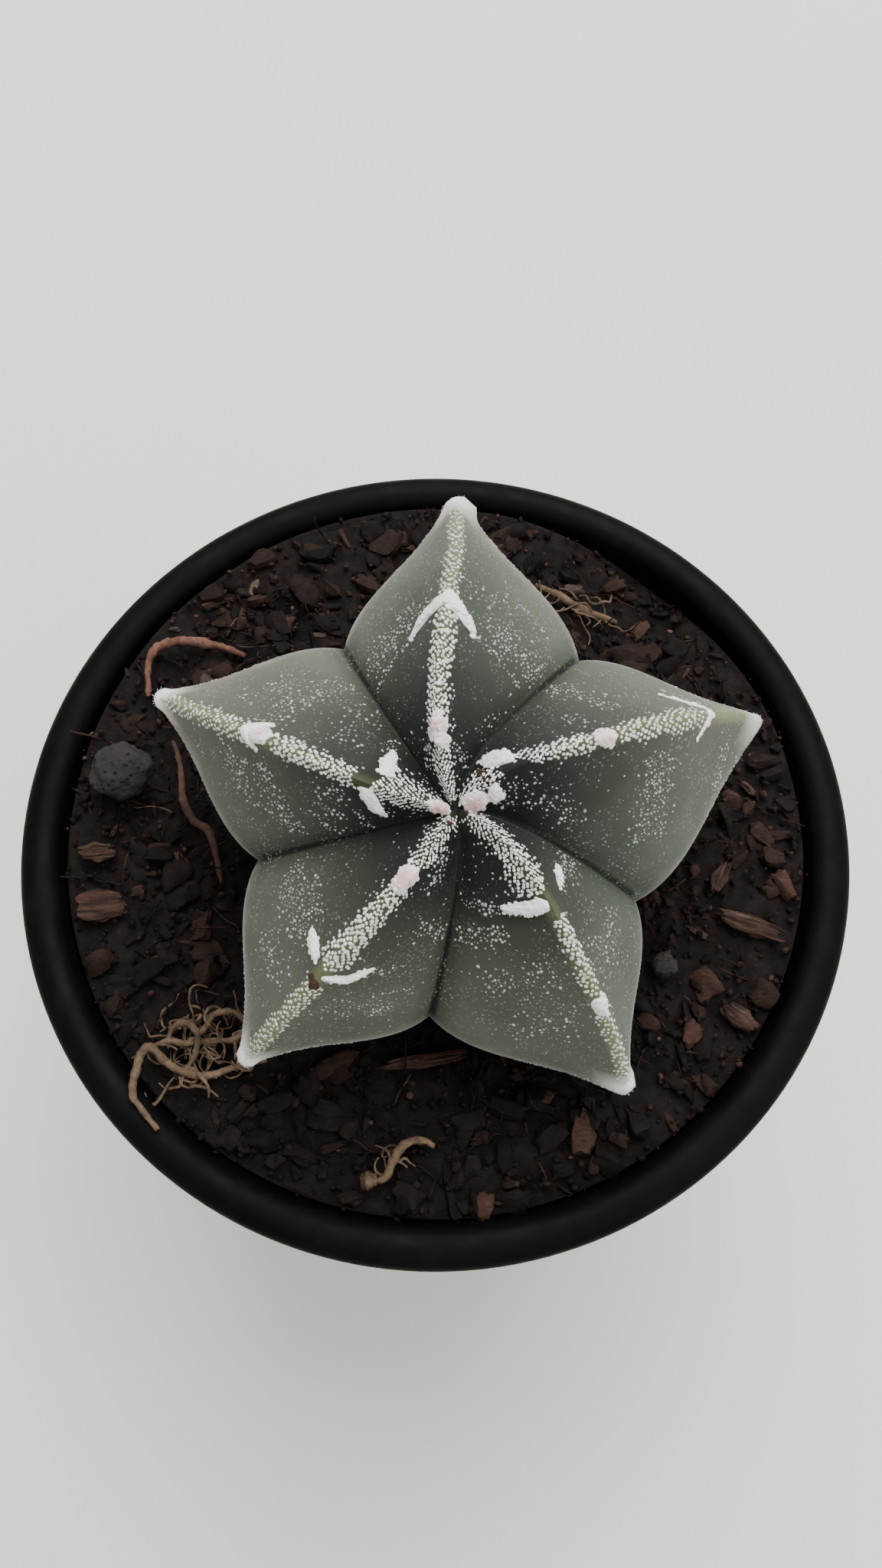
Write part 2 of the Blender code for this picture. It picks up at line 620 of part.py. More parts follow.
def make_bark():
    """Thin slips of bark, worn narrow at their ends, each laid to the mix's surface."""
    finish = material("bark_chip", (0.14, 0.075, 0.05), 0.85)
    for name, (x, y, long, wide, thick, turn) in BARK.items():
        rng = random.Random(name)
        bm = bmesh.new()
        bmesh.ops.create_cube(bm, size=2)
        lengthwise = [edge for edge in bm.edges if edge.verts[0].co.x != edge.verts[1].co.x]
        bmesh.ops.subdivide_edges(bm, edges=lengthwise, cuts=2)
        for vert in bm.verts:
            vert.co.x *= rng.uniform(0.85, 1.0)
            vert.co.y *= rng.uniform(0.7, 1.0) * (1 - BARK_TAPER * abs(vert.co.x))
        bmesh.ops.scale(bm, vec=Vector((long, wide, thick)) * MM, verts=bm.verts)
        bmesh.ops.rotate(bm, matrix=Matrix.Rotation(math.radians(turn), 3, "Z"), verts=bm.verts)
        bmesh.ops.translate(bm, vec=(x * MM, y * MM, thick * MM + GAP), verts=bm.verts)
        for vert in bm.verts:
            vert.co.z += mix_height(vert.co.x, vert.co.y)
        add_object(name, bm, finish, 40)


def make_pebbles():
    stone = material("pumice", (0.23, 0.21, 0.19), 0.9)
    for name, (x, y, radius) in PEBBLES.items():
        bm = bmesh.new()
        bmesh.ops.create_icosphere(bm, subdivisions=2, radius=1)
        for vert in bm.verts:
            vert.co *= 1 + PEBBLE_LUMPS * noise.noise(vert.co + Vector((x, y, 0)))
            vert.co.z *= PEBBLE_FLATNESS
        bmesh.ops.scale(bm, vec=Vector((radius, radius, radius)) * MM, verts=bm.verts)
        rise = mix_height(x * MM, y * MM) + GAP - min(vert.co.z for vert in bm.verts)
        bmesh.ops.translate(bm, vec=(x * MM, y * MM, rise), verts=bm.verts)
        add_object(name, bm, stone, 60)


def main():
    clear_scene()
    make_pot()
    make_mix()
    make_stem()
    make_roots()
    make_bark()
    make_pebbles()


main()
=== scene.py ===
import random
from itertools import product
from math import acos, atan2, copysign, cos, exp, hypot, pi, radians, sin, sqrt

import bpy
import bmesh
from mathutils import Matrix, Vector
from mathutils.noise import noise


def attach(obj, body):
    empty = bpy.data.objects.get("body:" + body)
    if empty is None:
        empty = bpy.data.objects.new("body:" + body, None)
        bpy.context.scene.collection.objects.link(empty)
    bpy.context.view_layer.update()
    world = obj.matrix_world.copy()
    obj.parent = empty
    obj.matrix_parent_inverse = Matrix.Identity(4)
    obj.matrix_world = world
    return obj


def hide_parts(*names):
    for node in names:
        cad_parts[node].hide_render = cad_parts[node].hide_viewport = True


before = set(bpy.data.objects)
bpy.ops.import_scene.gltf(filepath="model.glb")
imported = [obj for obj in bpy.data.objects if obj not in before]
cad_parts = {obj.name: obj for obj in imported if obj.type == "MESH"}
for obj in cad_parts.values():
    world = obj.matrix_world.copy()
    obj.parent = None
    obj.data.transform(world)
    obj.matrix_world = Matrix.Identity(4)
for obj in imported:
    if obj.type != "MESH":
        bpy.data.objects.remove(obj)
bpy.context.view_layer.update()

# A young bishop's cap in a black nursery pot. Lengths are in metres unless a comment says millimetres.
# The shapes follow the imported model, so the values under the next headings are those of its source.

MM = 0.001
GAP = 0.35 * MM

# Pot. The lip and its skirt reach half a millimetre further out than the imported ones
POT_HEIGHT = 70 * MM
RIM_RADIUS = 40.5 * MM
LIP_WIDTH = 3.7 * MM
LIP_RISE = 1.3 * MM
LIP_THICK = 2.2 * MM
SKIRT_DEPTH = 8 * MM
SKIRT_WALL = 1.2 * MM
SKIRT_DRAFT = 0.6 * MM
WALL = 1.1 * MM
CORNER = 1.5 * MM
FOOT_RADIUS = 28 * MM
FOOT_WIDTH = 2.6 * MM
FOOT_RISE = 1.4 * MM
FOOT_EDGE = 0.6 * MM
FLOOR = 1.4 * MM
DRAIN_HOLES = 6
DRAIN_RADIUS = 3 * MM
DRAIN_CIRCLE = 16 * MM
POT_SIDES = 180
LIP_STEPS = 20
EDGE_ROUND = 0.25 * MM
POT_SHARP = 35  # degrees above which an edge stays sharp

# Potting mix
MIX_LEVEL = -1.8 * MM
MIX_SLOPE = 0.035
MIX_HOLLOWS = (  # x, y, radius and depth
    (22 * MM, 25 * MM, 10 * MM, 2.6 * MM),
    (1.6 * MM, -8 * MM, 14 * MM, 3.5 * MM),
    (1.6 * MM, 15 * MM, 11 * MM, -1.8 * MM),
)
MIX_WAVE = 0.35 * MM
MIX_WAVE_LENGTH = 9 * MM
CRUMBS = 95
CRUMB_SIZE = (1.0 * MM, 2.6 * MM)
CRUMB_WIDTH = (0.4, 0.75)
CRUMB_THICKNESS = (0.3, 0.45)
CRUMB_TIP = 0.35
CRUMB_RAISED = 0.12
NECK_CLEAR = 17 * MM
LOW_CLEAR = 25 * MM
LOW_SCALE = 0.5
ROOT_CLEAR = 1.0

# Cactus
LEAN = radians(16.5)
STEM_CENTRE = Vector((1.6 * MM, -3.1 * MM, POT_HEIGHT + 12.1 * MM))
RIBS = 5
TIP_AZIMUTH = (17.0, 88.0, 158.3, 229.5, 301.6)
NOTCH_AZIMUTH = (51.0, 123.5, 193.0, 263.0, 334.5)
TIP_SWIRL = (33.0, 34.0, 16.0, 11.0, 40.0)
NOTCH_SWIRL = (36.0, 12.0, 3.0, 21.0, 28.0)
SWIRL_FADE = 0.35
CREST_SWAY = (2.2, 0.0, 0.0, 0.0, 1.3)
TIP_BEND = (0.0, 1.7, 0.0, 0.0, 0.0)  # the top rib's tip leans to its left
TIP_BEND_START = 0.72
STATIONS = (0, 0.12, 0.3, 0.5, 0.7, 0.87, 1.0, 1.12, 1.3, 1.55, 1.8, 2.0)
CREST_RADIUS = (0, 3.2, 8.5, 14.5, 20.5, 25.6, 28.2, 27.9, 26.0, 21.6, 15.8, 11.8)
CREST_HEIGHT = (9.2, 11.6, 12.6, 11.2, 7.8, 3.4, 0.0, -2.2, -5.4, -9.2, -12.0, -13.4)
GROOVE_RADIUS = (0, 2.4, 6.0, 10.2, 14.0, 16.6, 17.6, 17.7, 17.3, 15.8, 13.2, 11.2)
GROOVE_HEIGHT = (9.2, 9.0, 8.0, 6.2, 3.8, 1.3, -0.8, -2.6, -5.4, -9.2, -12.0, -13.4)
KEEL_SHARE = (0.10, 0.37)
KEEL_WIDTH = (0.38, 0.15)
NOSE_ROUND = 0.045
FLANK_BULGE = 0.11
NECK_ROWS = 2
NECK_RADIUS = 11.2 * MM
NECK_FOOT_SCALE = 0.9
NECK_CENTRE = (1.6 * MM, 0.9 * MM)
NECK_DEPTH = 11 * MM
NECK_PLAY = 0.9 * MM
STEM_AXIS = Vector((0, -sin(LEAN), cos(LEAN)))
STEM_RIGHT = Vector((1, 0, 0))
STEM_BACK = STEM_AXIS.cross(STEM_RIGHT)
SKIN_COLUMNS = 44  # across one rib
SKIN_ROWS = 170
COLUMN_CROWDING = 1.4
RIB_LENGTH = 31.0  # millimetres of crest for each whole station
# Painted shade: near-black on the inner flanks near the apex, with a reach for each side of each rib.
FLANK_SHADE_REACH = ((0.38, 0.24), (0.3, 0.3), (0.3, 0.32), (0.24, 0.36), (0.42, 0.22))  # station to which a flank is dark
FLANK_SHADE_FADE = 0.15

# Loose things on the mix, in millimetres
ROOT_END_SCALE = 0.55
MAIN_ROOT = 0.6
SIDE_ROOT = 0.45
ROOT_TANGLE = (
    ((-15.6, -22.3, 0.0), (-18.7, -23.1, 0.1), (-21.1, -23.8, 0.2), (-23.2, -23.4, 0.5), (-24.9, -22.5, 0.8),
     (-26.2, -21.3, 1.2), (-27.0, -22.2, 1.4), (-27.2, -23.9, 1.8), (-27.2, -25.6, 2.3), (-26.1, -27.1, 2.5),
     (-24.7, -28.7, 2.5)),
    ((-18.2, -20.6, 0.2), (-20.4, -20.6, 0.5), (-23.0, -20.9, 0.9), (-24.7, -20.7, 1.0), (-26.2, -21.3, 1.2)),
    ((-24.7, -20.7, 1.0), (-24.1, -19.4, 1.5), (-22.8, -19.2, 1.6), (-21.9, -20.4, 1.4), (-22.2, -22.2, 0.9),
     (-23.2, -23.4, 0.5)),
    ((-23.0, -20.9, 0.9), (-21.5, -19.9, 1.3), (-20.3, -18.3, 1.7), (-18.4, -18.3, 1.6), (-17.4, -19.4, 1.3),
     (-18.5, -20.5, 1.0), (-20.4, -20.6, 0.5)),
)
ROOTS = {
    "root_left_arc": (0.42, ((-19.6, 18.5, 0.0), (-21.4, 19.2, 0.2), (-23.4, 19.6, 0.5), (-25.6, 19.8, 0.6),
                             (-27.4, 19.6, 0.7), (-28.8, 18.9, 0.6), (-29.5, 16.9, 0.4), (-29.3, 14.0, 0.0))),
    "root_left_low": (0.4, ((-26.5, 9.1, 0.0), (-25.5, 6.4, 0.1), (-25.0, 2.9, 0.3), (-23.9, 0.8, 0.2),
                            (-22.3, -0.3, 0.2), (-21.4, -3.0, 0.1), (-20.8, -5.4, 0.0))),
    "root_front": (0.7, ((-6.2, -32.9, 0.1), (-4.6, -32.7, 0.4), (-3.8, -31.2, 0.5), (-2.9, -29.9, 0.4),
                         (-1.5, -29.4, 0.2), (-0.1, -29.9, 0.0))),
    "root_right": (0.45, ((10.5, 26.9, 0.0), (12.9, 25.8, 0.3), (15.3, 24.5, 0.3), (19.2, 23.5, 0.0))),
}
BARK = {  # x, y, half length, half width, half thickness, turn in degrees
    "bark_chip_1": (-33.0, -2.5, 1.7, 1.0, 0.5, 5),
    "bark_chip_2": (-32.2, -7.8, 2.3, 1.7, 0.5, 8),
    "bark_chip_3": (27.6, -5.0, 1.6, 0.8, 0.5, 66),
    "bark_chip_4": (28.5, -18.5, 1.7, 1.0, 0.5, 139),
    "bark_chip_5": (30.2, -9.7, 3.2, 1.0, 0.5, 160),
    "bark_stick": (-1.1, -22.2, 4.0, 0.7, 0.5, 9),
}
BARK_TAPER = 0.35
PEBBLES = {"pumice_pebble": (-31.0, 5.3, 2.9), "pale_pebble": (21.6, -13.6, 1.2)}
PEBBLE_FLATNESS = 0.7
PEBBLE_LUMPS = 0.22

# Felt on the skin. A place is (millimetres from the crest, station); plus is anticlockwise from above.
# Each felt pad: rib, its middle line, half widths and height along it in millimetres, and how pink it is.
PADS = (
    (0, ((4.0, 0.224), (2.6, 0.213), (1.2, 0.192)), (0.75, 1.15, 1.05), 0.5, 0.05),
    (0, ((-0.3, 0.126), (-1.5, 0.135), (-2.6, 0.147)), (0.45, 0.6, 0.4), 0.4, 0.15),
    (0, ((0.2, 0.423), (0.0, 0.450), (-0.1, 0.477)), (0.75, 1.0, 0.75), 0.4, 0.5),
    (0, ((4.4, 0.757), (2.5, 0.775), (0.2, 0.780)), (0.12, 0.18, 0.28), 0.12, 0.0),
    (0, ((0.6, 0.780), (-1.0, 0.756), (-2.1, 0.741)), (0.28, 0.2, 0.12), 0.12, 0.0),
    (1, ((0.7, 0.256), (0.1, 0.236), (-0.4, 0.214)), (0.9, 1.2, 0.95), 0.42, 0.6),
    (1, ((-0.2, 0.220), (-0.5, 0.200), (-0.7, 0.178)), (0.8, 0.85, 0.5), 0.36, 0.4),
    (1, ((4.3, 0.559), (2.2, 0.582), (-0.3, 0.585)), (0.25, 0.5, 0.8), 0.4, 0.0),
    (1, ((0.4, 0.590), (-1.4, 0.568), (-3.2, 0.535)), (0.8, 0.65, 0.35), 0.4, 0.0),
    (2, ((-5.0, 0.300), (-3.3, 0.266), (-1.8, 0.236)), (0.35, 0.6, 0.7), 0.38, 0.05),
    (2, ((0.5, 0.268), (2.0, 0.262), (3.7, 0.262)), (0.8, 0.75, 0.55), 0.45, 0.0),
    (2, ((-0.4, 0.605), (-0.4, 0.575), (-0.4, 0.546)), (0.65, 0.95, 0.65), 0.38, 0.5),
    (2, ((-2.1, 0.580), (-0.4, 0.622), (1.3, 0.586)), (0.25, 0.42, 0.25), 0.35, 0.05),
    (3, ((0.0, 0.285), (0.0, 0.245), (0.0, 0.205)), (0.75, 1.1, 0.75), 0.42, 0.75),
    (3, ((-3.9, 0.572), (-2.5, 0.572), (-1.2, 0.572)), (0.4, 0.55, 0.35), 0.45, 0.0),
    (3, ((0.1, 0.583), (2.3, 0.585), (4.1, 0.545)), (0.3, 0.36, 0.22), 0.4, 0.0),
    (4, ((-4.3, 0.345), (-2.1, 0.356), (-0.2, 0.358)), (0.35, 0.62, 0.8), 0.42, 0.0),
    (4, ((2.8, 0.392), (3.8, 0.388), (4.9, 0.390)), (0.28, 0.42, 0.28), 0.38, 0.0),
    (4, ((0.0, 0.695), (0.0, 0.662), (0.0, 0.640)), (0.5, 0.85, 0.6), 0.36, 0.2),
    (0, ((0.5, 0.035), (-0.7, 0.060), (-1.5, 0.083), (-2.2, 0.110)), (0.65, 0.95, 0.85, 0.5), 0.42, 0.85),
    (2, ((0.2, 0.090), (0.3, 0.058), (0.3, 0.020)), (0.6, 0.85, 0.7), 0.4, 0.95),
)
PAD_LENGTHWISE = 26
PAD_ROUND = 18
PAD_BLUNTNESS = 0.75
TUFTS_PER_MM2 = 9
TUFT = (0.14 * MM, 0.26 * MM)
HAIRS_PER_MM2 = 7
HAIR_LENGTH = (0.18 * MM, 0.4 * MM)
NOSE_HAIRS_PER_MM = 45
SCABS = (  # rib, place and size of brown crusts
    (3, 0.0, 0.611, 0.5), (3, -0.3, 0.605, 0.4), (0, 2.4, 0.150, 0.3), (0, 1.7, 0.135, 0.25),
    (0, 0.6, 0.125, 0.22), (2, -0.3, 0.100, 0.2), (3, 0.3, 0.050, 0.22),
)

# Blunt noses at the tips: rib, how far sideways and at which station, and radius
NOSES = (
    (0, 0.0, 0.978, 0.55), (1, 0.3, 0.950, 1.5), (2, 0.0, 0.970, 0.95), (3, 0.0, 0.970, 1.0),
    (4, -0.3, 0.965, 1.05),
)
NOSE_SUNK = 0.85  # of its radius
NOSE_REACH = 1.3 * MM

# Each close net of flecks along a crest: rib, first and last station, and its two edges at each of them
NETS = (
    (0, 0.045, 0.165, (-0.9, 0.9), (0.1, 3.0)),
    (0, 0.245, 0.425, (-0.3, 2.0), (-1.0, 1.2)),
    (0, 0.495, 0.765, (-1.1, 0.9), (-1.3, 1.7)),
    (1, 0.035, 0.200, (-1.1, 1.1), (-1.6, 1.6)),
    (1, 0.255, 0.560, (-1.4, 1.3), (-1.4, 1.5)),
    (1, 0.610, 0.930, (-1.0, 1.1), (-0.9, 0.8)),
    (2, 0.050, 0.245, (-0.8, 1.0), (-3.0, 1.8)),
    (2, 0.305, 0.540, (-1.2, 1.1), (-1.7, 0.8)),
    (2, 0.625, 0.940, (-1.5, 1.3), (-0.9, 0.9)),
    (3, 0.035, 0.205, (-0.9, 1.0), (-1.1, 1.8)),
    (3, 0.285, 0.565, (-1.1, 1.2), (-1.8, 1.9)),
    (3, 0.625, 0.940, (-0.9, 1.2), (-0.9, 1.0)),
    (4, 0.050, 0.335, (-0.7, 1.3), (-2.3, 2.2)),
    (4, 0.415, 0.635, (-0.5, 1.3), (-1.0, 0.8)),
    (4, 0.700, 0.940, (-0.9, 0.9), (-0.9, 0.9)),
)
NET_SPACING = (0.29, 0.37)  # millimetres from row to row, at the apex and past the middle of a rib
NET_STEP = 1.12  # along a row, as a share of that
NET_SLANT = 0.15  # how far a row falls towards the apex for each millimetre sideways
NET_STRAY = 0.16  # how far a fleck strays from its place in the row, as a share of the spacing
NET_FLECK = (0.55, 0.51, 0.19)  # half sizes as a share of the spacing
NET_TIGHT = 0.82  # and of that near the apex and the tips, where more skin shows between them
NET_NARROW = 0.82  # of the edges above, for what the fade adds
NET_FADE = 0.3  # millimetres over which a net thins out past its edges
NET_APEX_FADE = 0.5  # and more towards the apex
NET_WIDE_FADE = 0.6  # and more for each millimetre that the edge lies past the first one and a half

# Each cloud of flecks on a flank: rib, two ends, spread in millimetres and number
CLOUDS = (
    (0, (3.5, 0.575), (10.4, 0.63), 1.2, 95), (0, (-2.8, 0.62), (-10.8, 0.69), 1.8, 230),
    (0, (1.3, 0.45), (4.6, 0.46), 0.9, 22), (0, (-1.5, 0.18), (-7.8, 0.43), 2.2, 60),
    (0, (-2.6, 0.86), (-7.5, 0.93), 1.0, 60), (0, (2.4, 0.87), (6.5, 0.90), 0.8, 40),
    (0, (-1.0, 0.185), (-3.4, 0.19), 0.6, 22), (0, (2.0, 0.81), (5.5, 0.80), 0.5, 16),
    (1, (4.6, 0.635), (11.2, 0.66), 1.4, 165), (1, (4.4, 0.555), (9.4, 0.56), 0.3, 34),
    (1, (-4.3, 0.58), (-11.6, 0.62), 1.5, 185), (1, (-3.3, 0.53), (-8.7, 0.52), 0.3, 36),
    (1, (1.4, 0.22), (3.3, 0.19), 0.8, 48), (1, (-1.6, 0.20), (-3.4, 0.17), 0.8, 48),
    (1, (-2.0, 0.65), (-7.0, 0.72), 1.2, 36), (1, (2.0, 0.63), (4.6, 0.64), 0.7, 30),
    (1, (-5.0, 0.28), (-9.0, 0.45), 1.5, 24), (1, (5.0, 0.30), (9.0, 0.42), 1.5, 14),
    (1, (-7.8, 0.757), (-11.0, 0.768), 0.25, 40),
    (2, (-2.4, 0.61), (-10.4, 0.645), 1.4, 205), (2, (2.6, 0.60), (8.8, 0.595), 1.3, 150),
    (2, (4.2, 0.325), (6.8, 0.335), 0.5, 30), (2, (-4.9, 0.31), (-6.8, 0.36), 0.5, 18),
    (2, (1.5, 0.36), (7.7, 0.46), 1.7, 66), (2, (-3.0, 0.40), (-9.2, 0.50), 1.8, 44),
    (2, (2.0, 0.70), (7.5, 0.72), 1.4, 60), (2, (-3.0, 0.73), (-9.0, 0.76), 1.2, 40),
    (3, (-4.0, 0.60), (-10.8, 0.66), 1.8, 215), (3, (-4.5, 0.545), (-7.7, 0.53), 0.9, 44),
    (3, (5.3, 0.40), (10.4, 0.50), 1.0, 90), (3, (1.8, 0.16), (3.4, 0.26), 0.9, 54),
    (3, (4.1, 0.56), (6.6, 0.55), 0.4, 22), (3, (2.5, 0.70), (9.0, 0.74), 1.6, 66),
    (3, (-2.5, 0.72), (-7.5, 0.78), 1.5, 54), (3, (7.0, 0.658), (9.2, 0.665), 0.2, 22),
    (4, (-4.6, 0.345), (-8.2, 0.345), 0.5, 54), (4, (-5.0, 0.42), (-10.0, 0.48), 1.1, 100),
    (4, (4.6, 0.42), (9.6, 0.50), 1.1, 90), (4, (3.2, 0.41), (5.8, 0.42), 0.5, 24),
    (4, (-2.5, 0.55), (-9.2, 0.62), 2.2, 76), (4, (-2.0, 0.70), (-9.0, 0.78), 1.8, 56),
    (4, (2.0, 0.62), (8.2, 0.68), 2.0, 76),
)
UNDER_CLOUDS = (((1.6, 1.06), (10.5, 1.14), 1.6, 60), ((0.9, 0.985), (10.0, 1.035), 0.9, 110))  # on every flank
UNDER_NETS = (0.99, 1.42, 0.9, 0.5)
CLOUD_DENSITY = 1.45
CLOUD_FLECK = (0.165 * MM, 0.135 * MM, 0.075 * MM)
CLOUD_APART = 0.25 * MM
SCATTER = 1500
GROOVE_LIMIT = 0.94

# Camera and light
CAMERA_PLACE = Vector((0, -0.037553, 0.181903))
CAMERA_AIM = Vector((0.000505, 0.004248, 0.070))
CAMERA_ROLL = radians(0.672)
CAMERA_LENS = 27.77


# Small tools


def clamp(value, low=0.0, high=1.0):
    return max(low, min(high, value))


def between(pair, share):
    return pair[0] + (pair[1] - pair[0]) * share


def curve_through(xs, ys, x):
    """The value at x of a smooth cubic through the stations xs and their values ys."""
    i = 0
    while i < len(xs) - 2 and x > xs[i + 1]:
        i += 1

    def slope(k):
        low = max(k - 1, 0)
        high = min(k + 1, len(xs) - 1)
        return (ys[high] - ys[low]) / (xs[high] - xs[low])

    step = xs[i + 1] - xs[i]
    t = (x - xs[i]) / step
    return (
        (2 * t**3 - 3 * t**2 + 1) * ys[i]
        + (t**3 - 2 * t**2 + t) * step * slope(i)
        + (3 * t**2 - 2 * t**3) * ys[i + 1]
        + (t**3 - t**2) * step * slope(i + 1)
    )


def along(values, share):
    """The value at a share from 0 to 1 of a row of evenly spaced values, by straight steps."""
    at = clamp(share) * (len(values) - 1)
    k = min(int(at), len(values) - 2)
    return between(values[k:k + 2], at - k)


def mesh_of(bm, name):
    """A mesh with the shape of a bmesh, which is used up."""
    mesh = bpy.data.meshes.new(name)
    bm.to_mesh(mesh)
    bm.free()
    return mesh


def put_in_scene(name, data):
    obj = bpy.data.objects.new(name, data)
    bpy.context.scene.collection.objects.link(obj)
    return obj


def evaluated(obj):
    """The mesh of an object with its modifiers or its curve's bevel worked out."""
    graph = bpy.context.evaluated_depsgraph_get()
    return bpy.data.meshes.new_from_object(obj.evaluated_get(graph))


def outward(made):
    bmesh.ops.recalc_face_normals(made, faces=made.faces)


def add_piece(name, bm, finish, node=None, sharp_above=None):
    """Makes a finished piece of the object from a bmesh."""
    mesh = mesh_of(bm, name)
    mesh.materials.append(finish)
    mesh.shade_smooth()
    if sharp_above:
        mesh.set_sharp_from_angle(angle=radians(sharp_above))
    obj = put_in_scene(name, mesh)
    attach(obj, "root")
    if node:
        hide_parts(node)
    return obj


def as_stamp(bm, value="tone"):
    """A small mesh to be stamped many times, each time with a value of this name."""
    mesh = mesh_of(bm, "stamp")
    mesh.attributes.new(value, "FLOAT", "POINT")
    points = [0.0] * (3 * len(mesh.vertices))
    mesh.vertices.foreach_get("co", points)
    return mesh, points, value


def stamp(bm, made, place, value):
    """Adds a stamp to a bmesh at a place, with its value."""
    mesh, points, name = made
    mesh.vertices.foreach_set("co", points)
    mesh.transform(place)
    mesh.attributes[name].data.foreach_set("value", [value] * len(mesh.vertices))
    bm.from_mesh(mesh)


def cut_cube(cuts):
    """A cube of half size 1 with this many cuts across each edge."""
    bm = bmesh.new()
    bmesh.ops.create_cube(bm, size=2)
    bmesh.ops.subdivide_edges(bm, edges=bm.edges, cuts=cuts, use_grid_fill=True)
    return bm


def turned(profile, sides):
    """A closed body turned about Z from a profile whose ends lie on the axis."""
    bm = bmesh.new()
    verts = [bm.verts.new((r, 0, z)) for r, z in profile]
    edges = [bm.edges.new(pair) for pair in zip(verts, verts[1:])]
    bmesh.ops.spin(
        bm, geom=verts + edges, cent=(0, 0, 0), axis=(0, 0, 1),
        angle=2 * pi, steps=sides, use_merge=True,
    )
    bmesh.ops.remove_doubles(bm, verts=bm.verts, dist=0.0001 * MM)
    outward(bm)
    return bm


# Material tools


def new_finish(name, **sockets):
    """Starts a material with plain sockets of its shader set. Also gives the object's own coordinates."""
    made = bpy.data.materials.new(name)
    made.use_nodes = True
    shader = made.node_tree.nodes["Principled BSDF"]
    for socket, value in sockets.items():
        shader.inputs[socket.replace("_", " ")].default_value = value
    return (made, shader), on_object(shader)


def finished(started, colour, roughness=None, *layers):
    """Links a material's colour, roughness and bumps, each a height, a strength and a depth in metres."""
    made, shader = started
    last = None
    for height, strength, depth in layers:
        sockets = {"Height": height, "Strength": strength, "Distance": depth}
        if last:
            sockets["Normal"] = last
        last = add(shader, "Bump", sockets).outputs["Normal"]
    for output, socket in ((colour, "Base Color"), (roughness, "Roughness"), (last, "Normal")):
        if output:
            made.node_tree.links.new(output, shader.inputs[socket])
    return made


def add(near, kind, sockets=None, **settings):
    """A new node beside another. A socket takes a number, a colour or another node's output."""
    tree = near.id_data
    node = tree.nodes.new("ShaderNode" + kind)
    for name, value in settings.items():
        setattr(node, name, value)
    for socket, value in (sockets or {}).items():
        if isinstance(value, bpy.types.NodeSocket):
            tree.links.new(value, node.inputs[socket])
        else:
            node.inputs[socket].default_value = value
    return node


def on_object(near, stretch=(1, 1, 1)):
    coords = add(near, "TexCoord").outputs["Object"]
    return add(near, "Mapping", {"Vector": coords, "Scale": stretch}).outputs["Vector"]


def grain(where, per_metre, detail, roughness=0.5):
    sockets = {"Vector": where, "Scale": per_metre, "Detail": detail, "Roughness": roughness}
    return add(where, "TexNoise", sockets).outputs["Fac"]


def cells(where, per_metre):
    return add(where, "TexVoronoi", {"Vector": where, "Scale": per_metre}).outputs["Distance"]


def value_of(near, name):
    return add(near, "Attribute", attribute_name=name, attribute_type="GEOMETRY").outputs["Fac"]


def ramp(factor, *stops):
    """Colours or greys at stops from 0 to 1."""
    node = add(factor, "ValToRGB", {"Fac": factor})
    band = node.color_ramp.elements
    for k, (place, colour) in enumerate(stops):
        point = band[k] if k < 2 else band.new(place)
        point.position = place
        point.color = (*colour, 1) if isinstance(colour, tuple) else (colour, colour, colour, 1)
    return node.outputs["Color"]


def mixed(factor, first, second, kind="MIX"):
    second = (*second, 1) if isinstance(second, tuple) else second
    sockets = {0: factor, 6: first, 7: second}
    return add(first, "Mix", sockets, data_type="RGBA", blend_type=kind).outputs[2]


def maths(kind, first, second):
    return add(first, "Math", {0: first, 1: second}, operation=kind).outputs[0]


def times(first, second):
    return maths("MULTIPLY", first, second)


# Finishes


def pot_plastic():
    """Satin black moulded plastic, with fine flow marks and a little dried dust."""
    started, where = new_finish("satin_black_plastic", Specular_IOR_Level=0.04)
    dust = ramp(grain(where, 260, 6, 0.65), (0.52, 0.0), (0.75, 1.0))
    flow = grain(on_object(where, (1, 1, 0.25)), 90, 3)
    black = ramp(flow, (0.3, (0.0022, 0.0022, 0.0024)), (0.7, (0.0036, 0.0036, 0.0039)))
    colour = mixed(times(dust, 0.15), black, (0.020, 0.017, 0.015))
    gloss = ramp(grain(where, 420, 4), (0.3, 0.40), (0.7, 0.55))
    rough = mixed(dust, gloss, (0.7, 0.7, 0.7))
    return finished(started, colour, rough, (grain(where, 2600, 2), 0.05, 0.01 * MM))


def mix_finish(name, stretch):
    """Damp bark and peat. Each bit has its own tone, from black through red-brown to tan."""
    started, where = new_finish(name, Specular_IOR_Level=0.18)
    tone = maths("ADD", value_of(where, "tone"), times(grain(where, 700, 5), 0.24))
    browns = ramp(
        maths("SUBTRACT", tone, 0.12),
        (0.0, (0.0026, 0.0018, 0.0016)), (0.35, (0.0085, 0.0052, 0.0042)), (0.6, (0.024, 0.0125, 0.0092)),
        (0.78, (0.060, 0.030, 0.021)), (0.9, (0.052, 0.043, 0.041)), (1.0, (0.13, 0.080, 0.052)),
    )
    streaks = ramp(grain(on_object(where, stretch), 1500, 4, 0.6), (0.3, 0.55), (0.7, 1.25))
    colour = mixed(1.0, browns, streaks, "MULTIPLY")
    rough = ramp(grain(where, 1100, 3), (0.3, 0.75), (0.7, 0.98))
    return finished(started, colour, rough, (grain(where, 1300, 6, 0.65), 0.7, 0.25 * MM), (streaks, 0.4, 0.1 * MM))


